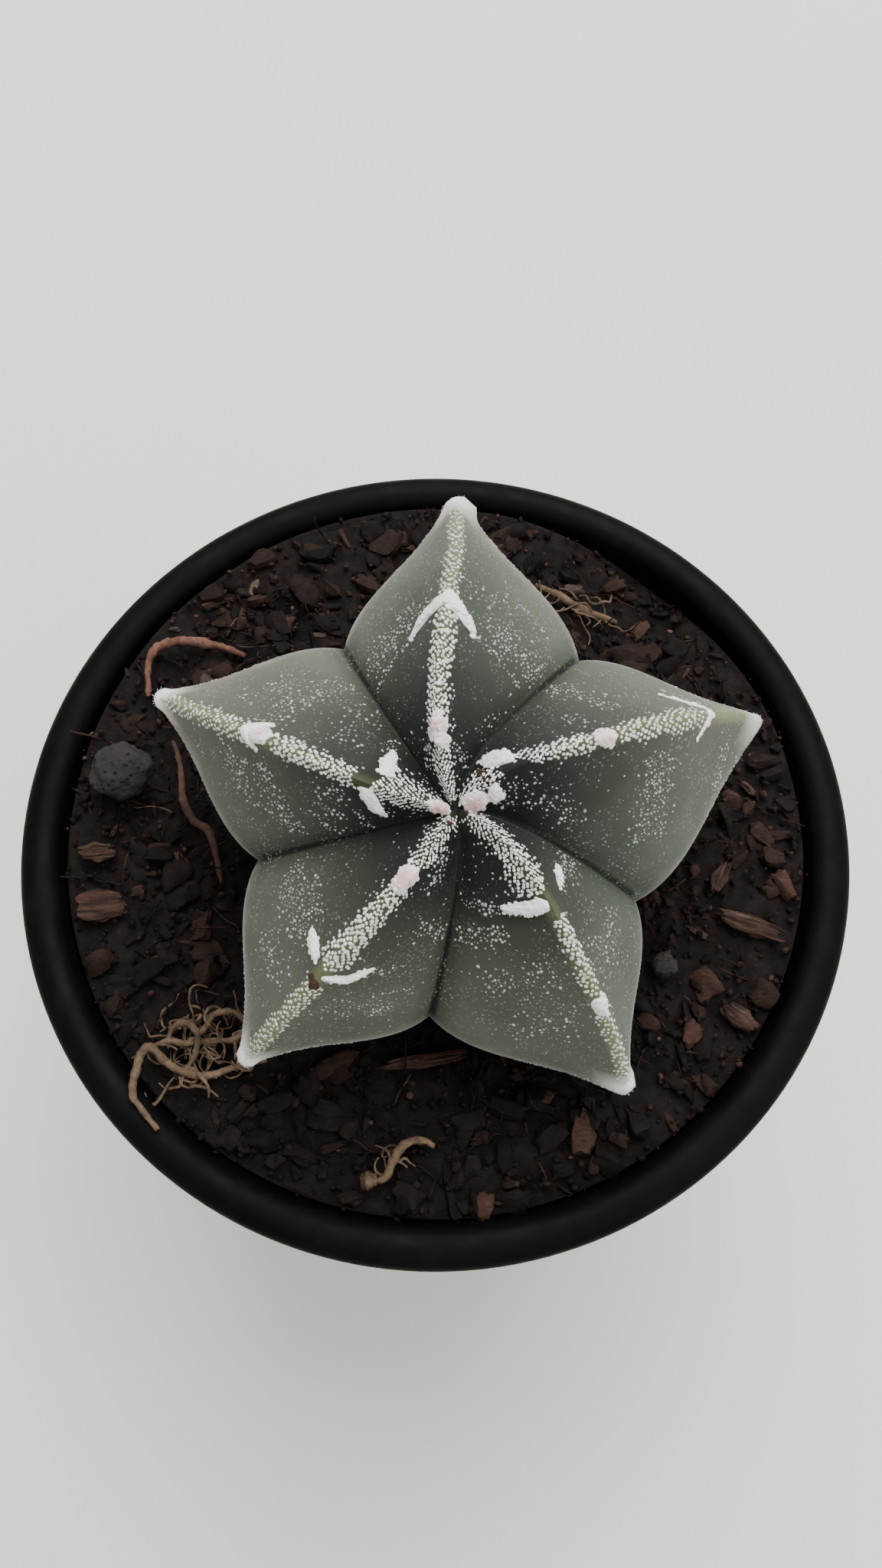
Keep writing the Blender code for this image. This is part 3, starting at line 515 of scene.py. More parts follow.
def skin_finish():
    """Dull waxy grey-green skin: painted shade darkens it near the apex, on some inner flanks and in the grooves;
    paler and dusty towards the tips, partly as painted light.
    """
    started, where = new_finish("waxy_skin", Specular_IOR_Level=0.2, Sheen_Weight=0.4, Sheen_Roughness=0.25)
    cloudy = grain(where, 130, 4, 0.6)
    olive = ramp(cloudy, (0.3, (0.070, 0.075, 0.056)), (0.7, (0.100, 0.105, 0.078)))
    teal = ramp(cloudy, (0.3, (0.054, 0.066, 0.052)), (0.7, (0.078, 0.092, 0.074)))
    green = mixed(ramp(grain(where, 34, 2), (0.42, 0.0), (0.6, 1.0)), olive, teal)
    out = value_of(where, "station")
    # Painted shade and light: the skin is darkened towards the apex, where the steep flanks lie in shadow, and
    # lightened towards the tips.
    shade = ramp(
        out, (0.0, 0.06), (0.06, 0.08), (0.12, 0.16), (0.2, 0.36), (0.3, 0.72), (0.4, 1.1), (0.5, 1.4), (0.6, 0.9),
    )
    green = mixed(1.0, green, shade, "MULTIPLY")
    groove = value_of(where, "groove")
    # Painted shade: some inner flanks near the apex are turned near-black.
    green = mixed(times(value_of(where, "flank_shade"), 0.88), green, (0.007, 0.010, 0.007))
    # Painted shade in the grooves, with a near-black line along the bottom of each.
    green = mixed(ramp(groove, (0.82, 0.0), (1.0, 0.65)), green, (0.016, 0.026, 0.016))
    green = mixed(ramp(groove, (0.955, 0.0), (0.985, 0.95)), green, (0.002, 0.003, 0.002))
    # Live tissue shows yellow-green between the flecks of each crest
    crest = ramp(value_of(where, "crest"), (0.04, 1.0), (0.11, 0.0))
    tissue = ramp(
        out, (0.05, (0.022, 0.026, 0.014)), (0.14, (0.055, 0.066, 0.026)), (0.3, (0.14, 0.155, 0.065)),
        (0.42, (0.22, 0.23, 0.12)),
    )
    green = mixed(times(crest, 0.62), green, tissue)
    green = mixed(ramp(value_of(where, "nose"), (0.0, 0.0), (0.9, 0.97)), green, (0.95, 0.94, 0.89))
    # Fine pale pores
    pores = ramp(cells(where, 2900), (0.14, 1.0), (0.34, 0.0))
    patch = ramp(grain(where, 380, 5, 0.6), (0.42, 0.0), (0.64, 0.7))
    outer = ramp(out, (0.12, 0.15), (0.36, 1.0))
    dusty = times(times(pores, patch), outer)
    green = mixed(dusty, green, (0.33, 0.34, 0.29))
    # Older skin, from where the flanks turn under down to the neck, is paler and mottled; where the flanks turn
    # under, this paleness is also a painted highlight along the lower outline.
    uneven = times(maths("SUBTRACT", grain(where, 240, 4, 0.6), 0.5), 0.16)
    older_skin_and_rim_light = ramp(maths("ADD", out, uneven), (0.45, 0.0), (0.54, 0.5), (0.65, 0.42), (1.0, 0.5))
    mottled = ramp(grain(where, 620, 6, 0.65), (0.38, 0.35), (0.62, 1.0))
    green = mixed(times(older_skin_and_rim_light, mottled), green, (0.36, 0.365, 0.32))
    return finished(
        started, green, ramp(grain(where, 300, 4), (0.3, 0.52), (0.7, 0.7)),
        (grain(where, 420, 4), 0.25, 0.3 * MM), (grain(where, 3600, 3), 0.3, 0.06 * MM), (pores, 0.25, 0.05 * MM),
    )


def fleck_finish(name, dark, pale):
    """Tiny white tufts, each a little different in tone."""
    started, where = new_finish(name, Roughness=0.95, Specular_IOR_Level=0.1, Sheen_Weight=0.3)
    fine = grain(where, 5200, 3)
    tone = maths("ADD", value_of(where, "tone"), times(maths("SUBTRACT", fine, 0.5), 0.5))
    return finished(started, ramp(tone, (0.0, dark), (1.0, pale)), None, (fine, 0.6, 0.08 * MM))


def wool_finish():
    """Short dense felt, white or pinkish."""
    started, where = new_finish("felt_wool", Roughness=1.0, Specular_IOR_Level=0.05, Sheen_Weight=0.45)
    white = ramp(grain(where, 1600, 4), (0.3, (0.86, 0.84, 0.835)), (0.7, (0.98, 0.965, 0.96)))
    pink = ramp(grain(where, 900, 4), (0.3, (0.64, 0.34, 0.315)), (0.7, (0.86, 0.56, 0.535)))
    colour = mixed(value_of(where, "blush"), white, pink)
    return finished(started, colour, None, (grain(where, 3800, 4, 0.7), 0.8, 0.15 * MM))


def root_finish(name, dark, pale):
    """Dry root bark with streaks and small cracks."""
    started, where = new_finish(name, Specular_IOR_Level=0.25)
    patch = grain(where, 520, 5, 0.65)
    fine = grain(where, 2600, 4, 0.6)
    colour = mixed(0.6, ramp(patch, (0.32, dark), (0.66, pale)), ramp(fine, (0.3, 0.4), (0.7, 1.3)), "MULTIPLY")
    rough = ramp(fine, (0.3, 0.72), (0.7, 0.95))
    return finished(started, colour, rough, (patch, 0.5, 0.3 * MM), (fine, 0.6, 0.12 * MM))


def stone_finish():
    """Rough grey pumice with pits, painted darker inside as shade, and brown stains."""
    started, where = new_finish("rough_pumice", Specular_IOR_Level=0.3)
    grey = ramp(grain(where, 360, 6, 0.65), (0.3, (0.008, 0.0065, 0.0055)), (0.7, (0.032, 0.026, 0.023)))
    pits = ramp(cells(where, 1500), (0.05, 0.25), (0.35, 1.0))
    # Painted shade: the colour is darkened in the pits.
    colour = mixed(1.0, grey, pits, "MULTIPLY")
    rough = ramp(pits, (0.0, 1.0), (1.0, 0.85))
    return finished(started, colour, rough, (pits, 0.8, 0.3 * MM), (grain(where, 2400, 5), 0.5, 0.12 * MM))


def floor_finish():
    started, where = new_finish("pale_floor", Specular_IOR_Level=0.1)
    soft = grain(where, 9, 3)
    colour = ramp(soft, (0.3, (0.80, 0.785, 0.72)), (0.7, (0.835, 0.82, 0.755)))
    return finished(started, colour, ramp(soft, (0.3, 0.85), (0.7, 0.95)))


# Pot


def inner_radius(z):
    """The pot's inner wall at height z."""
    return between((FOOT_RADIUS - WALL, RIM_RADIUS - LIP_WIDTH), min(max(z / POT_HEIGHT, 0), 1))


def rounded(corner, before, after):
    """A corner of a profile cut by a short round."""
    here = Vector(corner)
    ways = [(Vector(end) - here).normalized() * EDGE_ROUND for end in (before, after)]
    return [tuple(here + ways[0]), tuple(here + (ways[0] + ways[1]) * 0.29), tuple(here + ways[1])]


def pot_profile():
    """The pot's section as (radius, height), from the floor's middle up, over the lip and back under."""
    skirt_foot = POT_HEIGHT - SKIRT_DEPTH
    skirt_top = POT_HEIGHT - LIP_THICK
    skirt_radius = RIM_RADIUS - SKIRT_DRAFT
    floor_top = FOOT_RISE + FLOOR
    turns = [pi * k / LIP_STEPS for k in range(LIP_STEPS + 1)]
    half = LIP_WIDTH / 2
    lip = [(RIM_RADIUS - half - half * cos(t), POT_HEIGHT - LIP_RISE * (1 - sin(t))) for t in turns]
    bend = [pi / 2 * k / 5 for k in range(6)]
    inside = inner_radius(floor_top + CORNER)
    cove = [(inside - CORNER + CORNER * sin(t), floor_top + CORNER * (1 - cos(t))) for t in bend]
    outer = (skirt_radius, skirt_foot)
    inner = (skirt_radius - SKIRT_WALL, skirt_foot)
    under = (RIM_RADIUS - SKIRT_WALL, skirt_top)
    return [
        (0, floor_top), *cove, *lip,
        *rounded(outer, lip[-1], inner), *rounded(inner, outer, under), under,
        (inner_radius(skirt_top) + WALL, skirt_top),
        (FOOT_RADIUS, FOOT_EDGE),
        (FOOT_RADIUS - FOOT_EDGE * 0.3, FOOT_EDGE * 0.3),
        (FOOT_RADIUS - FOOT_EDGE, 0),
        (FOOT_RADIUS - FOOT_WIDTH, 0),
        (FOOT_RADIUS - FOOT_WIDTH - FOOT_EDGE, FOOT_RISE),
        (0, FOOT_RISE),
    ]


def make_pot():
    pot = add_piece("pot_shell", turned(pot_profile(), POT_SIDES), pot_plastic(), "pot", POT_SHARP)
    bm = bmesh.new()
    for k in range(DRAIN_HOLES):
        angle = 2 * pi * (k + 0.5) / DRAIN_HOLES
        place = (DRAIN_CIRCLE * cos(angle), DRAIN_CIRCLE * sin(angle), FOOT_RISE + FLOOR / 2)
        bmesh.ops.create_cone(
            bm, cap_ends=True, segments=32, radius1=DRAIN_RADIUS, radius2=DRAIN_RADIUS, depth=4 * FLOOR,
            matrix=Matrix.Translation(place),
        )
    cutter = put_in_scene("drain_drills", mesh_of(bm, "drain_drills"))
    cut = pot.modifiers.new("drain_holes", "BOOLEAN")
    cut.operation = "DIFFERENCE"
    cut.object = cutter
    drilled = evaluated(pot)
    pot.modifiers.clear()
    pot.data = drilled
    drilled.set_sharp_from_angle(angle=radians(POT_SHARP))
    bpy.data.objects.remove(cutter, do_unlink=True)


# Potting mix


def mix_height(x, y):
    """The smooth surface of the mix under its crumbs, in world height."""
    z = MIX_LEVEL + MIX_SLOPE * y
    for cx, cy, radius, depth in MIX_HOLLOWS:
        z -= depth * exp(-((x - cx) ** 2 + (y - cy) ** 2) / radius**2)
    z += MIX_WAVE * noise(Vector((x, y, 0)) / MIX_WAVE_LENGTH)
    return POT_HEIGHT + z


def from_neck(x, y):
    return hypot(x - NECK_CENTRE[0], y - NECK_CENTRE[1])


def front_left_shade(x, y):
    """Painted shade: how far the mix is darkened towards the front left, from 0 to 1."""
    return clamp(-(y + 0.3 * x) / (28 * MM))


BED_RINGS = 100
BED_SIDES = 240
BED_LUMPS = ((0.55 * MM, 3.2 * MM), (0.3 * MM, 1.4 * MM), (0.15 * MM, 0.6 * MM))


def make_mix_bed(finish):
    """The mix's own body: a turned plug whose top is laid in lumps, with a hole for the neck."""
    bottom = FOOT_RISE + FLOOR + GAP
    top = POT_HEIGHT + MIX_LEVEL
    top_radius = inner_radius(top) - GAP
    rings = [(top_radius * k / BED_RINGS, top) for k in range(BED_RINGS + 1)]
    bm = turned([*rings, (inner_radius(bottom) - CORNER - GAP, bottom), (0, bottom)], BED_SIDES)
    tone = bm.verts.layers.float.new("tone")
    for vert in bm.verts:
        vert[tone] = 0.2
        if vert.co.z < (bottom + top) / 2:
            continue
        x, y = vert.co.x, vert.co.y
        edge = hypot(x, y) > top_radius * 0.995
        z = mix_height(x, y)
        lumps = 0.0
        for k, (height, length) in enumerate(BED_LUMPS):
            lumps += height * noise(Vector((x, y, 10 * k * MM)) / length)
        vert.co.z = z + (0 if edge else lumps - 0.25 * MM)
        # Painted shade: the bed's tone is darker towards the front left, and darker in the hollows between its
        # lumps than on them.
        vert[tone] = clamp(0.26 - 0.1 * front_left_shade(x, y) + lumps / MM * 0.32, 0.0, 0.75)
        if from_neck(x, y) < NECK_RADIUS + NECK_PLAY:
            vert.co.z = POT_HEIGHT - NECK_DEPTH - GAP
    outward(bm)
    add_piece("mix_bed", bm, finish, "potting_mix")


def loose_places():
    """Circles (x, y, radius) that hold the loose things, so that no crumb grows into one."""
    places = [(x, y, long) for x, y, long, _, _, _ in BARK.values()]
    places += list(PEBBLES.values())
    for path in (*ROOT_TANGLE, *(points for _, points in ROOTS.values())):
        for (x0, y0, _), (x1, y1, _) in zip(path, path[1:]):
            places += [(x0, y0, ROOT_CLEAR), ((x0 + x1) / 2, (y0 + y1) / 2, ROOT_CLEAR), (x1, y1, ROOT_CLEAR)]
    return [(x * MM, y * MM, radius * MM) for x, y, radius in places]


def in_disc(rng, reach):
    """A random place at most this far from the pot's axis: x, y and how far out it is."""
    out = reach * sqrt(rng.random())
    angle = rng.uniform(0, 2 * pi)
    return out * cos(angle), out * sin(angle), out


def on_mix(x, y, lift):
    return Matrix.Translation((x, y, mix_height(x, y) + lift))


def crumb_places(kept_clear):
    """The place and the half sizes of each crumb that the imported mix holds."""
    rng = random.Random(7)
    reach = RIM_RADIUS - LIP_WIDTH - GAP - CRUMB_SIZE[1]
    made = []
    while len(made) < CRUMBS:
        x, y, _ = in_disc(rng, reach)
        clear = all(hypot(x - px, y - py) > CRUMB_SIZE[1] + size for px, py, size in kept_clear)
        if not clear or from_neck(x, y) <= NECK_CLEAR:
            continue
        size = rng.uniform(*CRUMB_SIZE) * (LOW_SCALE if from_neck(x, y) < LOW_CLEAR else 1)
        for _ in range(8):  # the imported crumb's corners
            rng.uniform(0.65, 1.0)
        turn = Matrix.Rotation(rng.uniform(0, 2 * pi), 4, "Z")
        tip = Matrix.Rotation(rng.uniform(-CRUMB_TIP, CRUMB_TIP), 4, "X")
        half = Matrix.Diagonal((size, size * rng.uniform(*CRUMB_WIDTH), size * rng.uniform(*CRUMB_THICKNESS), 1))
        made.append(on_mix(x, y, CRUMB_RAISED * size) @ turn @ tip @ half @ Matrix.Scale(0.95, 4))
    return made


def chunk_stamp(rng, cuts):
    """A broken bit of bark: an uneven lump with ridges along its length and a thinner end."""
    bm = cut_cube(cuts)
    shift = Vector([rng.uniform(0, 50) for _ in range(3)])
    lean = rng.uniform(-0.35, 0.35)
    taper = rng.uniform(0.1, 0.6)
    for vert in bm.verts:
        lump = noise(vert.co * 0.9 + shift)
        ridge = noise(Vector((vert.co.x * 0.6, vert.co.y * 3.5, vert.co.z * 3.5)) + shift)
        vert.co = vert.co.normalized() * between((vert.co.length, 1.0), 0.7) * (0.84 + 0.4 * lump + 0.18 * ridge)
        vert.co.y = (vert.co.y + lean * vert.co.x) * (1 - taper * max(0.0, vert.co.x))
    return as_stamp(bm)


CHUNKS = 680
CHUNK_SIZE = (0.8 * MM, 2.2 * MM)
SLIVERS = 0.35  # the share of the chunks that are long and thin
GRAINS = 2300
GRAIN_SIZE = (0.18 * MM, 0.5 * MM)
FIBRES = 430
FIBRE_RADIUS = (0.05 * MM, 0.12 * MM)
FIBRE_LENGTH = (2.5 * MM, 8 * MM)
FIBRES_PALER = 0.18
PALEST = 0.98  # the tone of the palest bits


def bark_tone(rng, x, y):
    """Mostly near black, with some red-brown, grey and tan bits, darker towards the front left as painted shade."""
    return min(PALEST, max(0.05, rng.gauss(0.40, 0.19) - 0.13 * front_left_shade(x, y)))


def scatter(rng, bm, shapes, number, reach, lie, paler=0.0):
    """Stamps this many bits on the mix. lie gives the place of one at x, y, or None where it can't lie."""
    made = 0
    while made < number:
        x, y, out = in_disc(rng, reach)
        place = lie(x, y, out)
        if place:
            stamp(bm, rng.choice(shapes), place, min(PALEST, bark_tone(rng, x, y) + paler))
            made += 1


def make_chunks(finish):
    rng = random.Random(21)
    shapes = [chunk_stamp(rng, 3) for _ in range(9)]
    kept_clear = loose_places()
    bm = bmesh.new()
    for place in crumb_places(kept_clear):
        stamp(bm, rng.choice(shapes), place, bark_tone(rng, place.translation.x, place.translation.y))

    def lie(x, y, out):
        size = rng.uniform(*CHUNK_SIZE) * rng.uniform(0.6, 1)
        near = from_neck(x, y)
        if near < LOW_CLEAR:
            size = min(size, 0.9 * MM)
        if near < NECK_RADIUS + 2 * MM or out + size * 0.8 > inner_radius(POT_HEIGHT):
            return None
        if any(hypot(x - px, y - py) < size * 0.8 + radius for px, py, radius in kept_clear):
            return None
        slim = 0.45 if rng.random() < SLIVERS else 1.0
        wide = size * rng.uniform(0.45, 0.85) * slim
        thick = size * rng.uniform(0.3, 0.6) * slim
        return (
            on_mix(x, y, rng.uniform(-0.25, 0.35) * thick) @ Matrix.Rotation(rng.uniform(0, 6.3), 4, "Z")
            @ Matrix.Rotation(rng.gauss(0, 0.35), 4, "X") @ Matrix.Rotation(rng.gauss(0, 0.25), 4, "Y")
            @ Matrix.Diagonal((size, wide, thick, 1))
        )

    scatter(rng, bm, shapes, CHUNKS, inner_radius(POT_HEIGHT), lie)
    add_piece("mix_chunks", bm, finish, None, 60)


def make_grains(finish):
    """Crumbs of peat and grit between the bark."""
    rng = random.Random(22)
    shapes = []
    for _ in range(6):
        bm = bmesh.new()
        bmesh.ops.create_icosphere(bm, subdivisions=1, radius=1)
        for vert in bm.verts:
            vert.co *= rng.uniform(0.7, 1.1)
        shapes.append(as_stamp(bm))

    def lie(x, y, out):
        size = rng.uniform(*GRAIN_SIZE)
        if from_neck(x, y) < NECK_RADIUS + 0.8 * MM or out + size > inner_radius(POT_HEIGHT) - 0.05 * MM:
            return None
        half = Matrix.Diagonal((size, size * rng.uniform(0.6, 1), size * rng.uniform(0.5, 0.9), 1))
        place = on_mix(x, y, rng.uniform(-0.1, 0.35) * MM)
        return place @ Matrix.Rotation(rng.uniform(0, 6.3), 4, (rng.random(), rng.random(), 0.5)) @ half

    bm = bmesh.new()
    scatter(rng, bm, shapes, GRAINS, inner_radius(POT_HEIGHT), lie)
    add_piece("mix_grains", bm, finish)


def thread(rng, length, radius, sides=3, steps=7, wander=0.35):
    """A thin wandering thread along X, with closed ends."""
    bm = bmesh.new()
    bmesh.ops.create_circle(bm, cap_ends=True, segments=sides, radius=radius * 0.5)
    bmesh.ops.rotate(bm, matrix=Matrix.Rotation(pi / 2, 3, "Y"), verts=bm.verts)
    face = bm.faces[:][0]
    heading = Vector((1, 0, 0))
    step = length / steps
    for k in range(steps):
        heading = (heading + Vector((0, rng.gauss(0, wander), rng.gauss(0, wander * 0.5)))).normalized()
        made = bmesh.ops.extrude_face_region(bm, geom=[face])["geom"]
        face = next(part for part in made if isinstance(part, bmesh.types.BMFace))
        grow = 2.0 if k == 0 else (0.5 if k == steps - 1 else 1.0)
        middle = face.calc_center_median()
        for vert in face.verts:
            vert.co = middle + (vert.co - middle) * grow + heading * step
    outward(bm)
    return bm


def make_fibres(finish):
    rng = random.Random(23)
    shapes = [as_stamp(thread(rng, rng.uniform(*FIBRE_LENGTH), rng.uniform(*FIBRE_RADIUS))) for _ in range(10)]

    def lie(x, y, _):
        if from_neck(x, y) < NECK_RADIUS + 6 * MM:
            return None
        place = on_mix(x, y, rng.uniform(0.2, 0.8) * MM)
        return place @ Matrix.Rotation(rng.uniform(0, 6.3), 4, "Z") @ Matrix.Rotation(rng.gauss(0, 0.12), 4, "Y")

    bm = bmesh.new()
    scatter(rng, bm, shapes, FIBRES, inner_radius(POT_HEIGHT) - 4 * MM, lie, FIBRES_PALER)
    add_piece("mix_fibres", bm, finish)


# Cactus


def drop_across(across, station):
    """How far the surface has gone from crest (0) to groove (1), at across in -1 to 1."""
    out = min(station, 1.0)
    keel = between(KEEL_SHARE, out**2)
    width = between(KEEL_WIDTH, out)
    eased = hypot(across, NOSE_ROUND) - NOSE_ROUND
    nose = (1 - exp(-eased / width)) / (1 - exp(-(1 - NOSE_ROUND) / width))
    flank = (1 - FLANK_BULGE) * abs(across) + FLANK_BULGE * across**6
    return keel * nose + (1 - keel) * flank


def azimuth(rib, across, station):
    """The direction of a place on a rib, turned a little as it nears the apex."""
    out = min(station, 1)
    turn = exp(-out / SWIRL_FADE) - exp(-1 / SWIRL_FADE)
    bend = max(0.0, out - TIP_BEND_START) / (1 - TIP_BEND_START)
    low = NOTCH_AZIMUTH[rib - 1] - (360 if rib == 0 else 0) + NOTCH_SWIRL[rib - 1] * turn
    high = NOTCH_AZIMUTH[rib] + NOTCH_SWIRL[rib] * turn
    mid = TIP_AZIMUTH[rib] + TIP_SWIRL[rib] * turn + CREST_SWAY[rib] * sin(pi * out**2)
    mid += TIP_BEND[rib] * bend**2 * (3 - 2 * bend)
    side = mid - low if across < 0 else high - mid
    return radians(mid + across * side)


def stem_point(rib, across, station):
    """A point of the stem's skin. A rib runs from groove (-1) over its crest (0) to groove (1)."""
    drop = drop_across(across, station)
    radii = [curve_through(STATIONS, values, station) for values in (CREST_RADIUS, GROOVE_RADIUS)]
    heights = [curve_through(STATIONS, values, station) for values in (CREST_HEIGHT, GROOVE_HEIGHT)]
    radius = between(radii, drop) * MM
    height = between(heights, drop) * MM
    angle = azimuth(rib, across, station)
    flat = STEM_RIGHT * cos(angle) + STEM_BACK * sin(angle)
    return STEM_CENTRE + flat * radius + STEM_AXIS * height


def neck_point(row, angle):
    """The plain round neck that stands in the mix."""
    share = row / NECK_ROWS
    radius = NECK_RADIUS * between((1, NECK_FOOT_SCALE), share)
    x = NECK_CENTRE[0] + radius * cos(angle)
    y = NECK_CENTRE[1] + radius * sin(angle)
    return Vector((x, y, POT_HEIGHT - NECK_DEPTH * share))


def across_at(rib, distance, station):
    """The place across a rib that lies this many millimetres from its crest."""
    crest = stem_point(rib, 0, station)
    side = copysign(1, distance)
    low, high = 0.0, 1.0
    for _ in range(9):
        mid = (low + high) / 2
        if (stem_point(rib, side * mid, station) - crest).length < abs(distance) * MM:
            low = mid
        else:
            high = mid
    return side * (low + high) / 2


def on_skin(rib, across, station, out=0.0, turn=0.0):
    """A frame on the skin: X runs down the rib, Y anticlockwise round the stem, and Z points out."""
    step = 0.02
    inner = clamp(across, step - 1, 1 - step)
    ahead = stem_point(rib, across, station + step) - stem_point(rib, across, max(0.001, station - step))
    side = stem_point(rib, inner + step, station) - stem_point(rib, inner - step, station)
    z = ahead.cross(side).normalized()
    x = (ahead - z * ahead.dot(z)).normalized()
    axes = Matrix((x, z.cross(x), z)).transposed().to_4x4()
    place = Matrix.Translation(stem_point(rib, across, station) + z * out)
    return place @ axes @ Matrix.Rotation(turn, 4, "Z")


def noses():
    """A frame in the middle of each nose, and its radius."""
    made = []
    for rib, aside, station, radius in NOSES:
        across = across_at(rib, aside, station)
        made.append((on_skin(rib, across, station, -NOSE_SUNK * radius * MM), radius * MM))
    return made


def swell_noses(bm):
    """Swells each tip into a blunt round nose, by pushing the skin near it out to a ball."""
    for frame_here, radius in noses():
        middle = frame_here.translation
        for vert in bm.verts:
            reach = (vert.co - middle).length
            if reach < radius + NOSE_REACH:
                short = max(0.0, radius - reach)
                blend = max(0.0, 1 - max(0.0, reach - radius) / NOSE_REACH) ** 2
                vert.co = middle + (vert.co - middle) * ((reach + short + 0.1 * MM * blend) / reach)


def make_skin():
    columns = RIBS * SKIN_COLUMNS
    rings = SKIN_ROWS + NECK_ROWS
    bm = bmesh.new()
    bmesh.ops.create_uvsphere(bm, u_segments=columns, v_segments=rings + 1, radius=1)
    layers = {name: bm.verts.layers.float.new(name) for name in ("station", "groove", "crest", "nose", "flank_shade")}
    nose_radii = {rib: radius for rib, _, _, radius in NOSES}
    for vert in bm.verts:
        row = round(acos(clamp(vert.co.z, -1, 1)) / pi * (rings + 1))
        column = round(atan2(vert.co.y, vert.co.x) / (2 * pi) * columns) % columns
        rib, step = divmod(column, SKIN_COLUMNS)
        t = step / (SKIN_COLUMNS / 2) - 1
        across = copysign(abs(t) ** COLUMN_CROWDING, t)
        station = min(2 * row / SKIN_ROWS, 2)
        if row > rings:
            vert.co = Vector((*NECK_CENTRE, POT_HEIGHT - NECK_DEPTH))
        elif row > SKIN_ROWS:
            vert.co = neck_point(row - SKIN_ROWS, azimuth(rib, across, 2))
        else:
            vert.co = stem_point(rib, across, station)
        from_crest = (vert.co - stem_point(rib, 0, station)).length / (10 * MM)
        bare = rib == 0 and station < 0.3
        vert[layers["station"]] = station / 2
        vert[layers["groove"]] = abs(across)
        vert[layers["crest"]] = 1 if bare else min(from_crest, 1)
        near_tip = max(0.0, 1 - abs(station - 0.985) / 0.09) * max(0.0, 1 - from_crest / 0.3)
        vert[layers["nose"]] = min(1.0, 1.6 * near_tip) * min(1.0, nose_radii[rib])
        # How far out the painted shade of this flank reaches
        reach = FLANK_SHADE_REACH[rib][1 if across > 0 else 0]
        vert[layers["flank_shade"]] = clamp((reach - station) / FLANK_SHADE_FADE) * min(1.0, 2.5 * abs(across))
    swell_noses(bm)
    outward(bm)
    add_piece("stem_skin", bm, skin_finish(), "cactus_stem")


def tuft_stamps(rng, sides, rings, value="tone"):
    """A few small uneven balls."""
    made = []
    for _ in range(6):
        bm = bmesh.new()
        bmesh.ops.create_uvsphere(bm, u_segments=sides, v_segments=rings, radius=1)
        for vert in bm.verts:
            vert.co *= rng.uniform(0.82, 1.12)
        made.append(as_stamp(bm, value))
    return made


def fleck_place(rng, rib, distance, station, half, heading):
    """A place for one fleck, or None where it would fall in the groove."""
    across = across_at(rib, distance, station)
    if abs(across) > GROOVE_LIMIT:
        return None
    size = rng.uniform(0.82, 1.12)
    sizes = (half[0] * size * rng.uniform(0.9, 1.15), half[1] * size, half[2] * size, 1)
    return on_skin(rib, across, station, 0, heading) @ Matrix.Diagonal(sizes)


def net_flecks(rng, bm, shapes):
    """Close slanting rows of flecks on both sides of each crest."""
    nets = list(NETS)
    for rib in range(RIBS):
        first, last, wide, narrow = UNDER_NETS
        nets.append((rib, first, last, (-wide, wide), (-narrow, narrow)))
    for rib, first, last, start_edges, end_edges in nets:
        base = first
        row = 0
        while base < last:
            spacing = between(NET_SPACING, min(1.0, base / 0.55))
            tight = 1.0 - (1.0 - NET_TIGHT) * min(1.0, abs(base - 0.45) / 0.3)
            half = [value * tight * spacing * MM for value in NET_FLECK]
            for k in range(-16, 17):
                aside = (k + (0.5 if row % 2 else 0.0)) * spacing * NET_STEP + rng.gauss(0, NET_STRAY * spacing)
                station = base + (rng.gauss(0, NET_STRAY * spacing) - NET_SLANT * abs(aside)) / RIB_LENGTH
                share = (base - first) / (last - first)
                edges = [NET_NARROW * along((start_edges[e], end_edges[e]), share) for e in (0, 1)]
                fade = NET_FADE + NET_APEX_FADE * max(0.0, 1 - base / 0.4)
                fades = [fade + NET_WIDE_FADE * max(0.0, abs(edge) - 1.3) for edge in edges]
                past = max((edges[0] - aside) / fades[0], (aside - edges[1]) / fades[1], 0.0)
                if past > 3.5 or rng.random() > exp(-past):
                    continue
                size = max(0.55, 1 - 0.2 * past)
                place = fleck_place(rng, rib, aside, station, [value * size for value in half], rng.uniform(0, 3.1))
                if place:
                    tone = rng.uniform(0.5, 1.0) - 0.55 * max(0.0, min(station, 1.0) - 0.35) - 0.16 * past
                    stamp(bm, rng.choice(shapes), place, tone)
            base += spacing / RIB_LENGTH
            row += 1


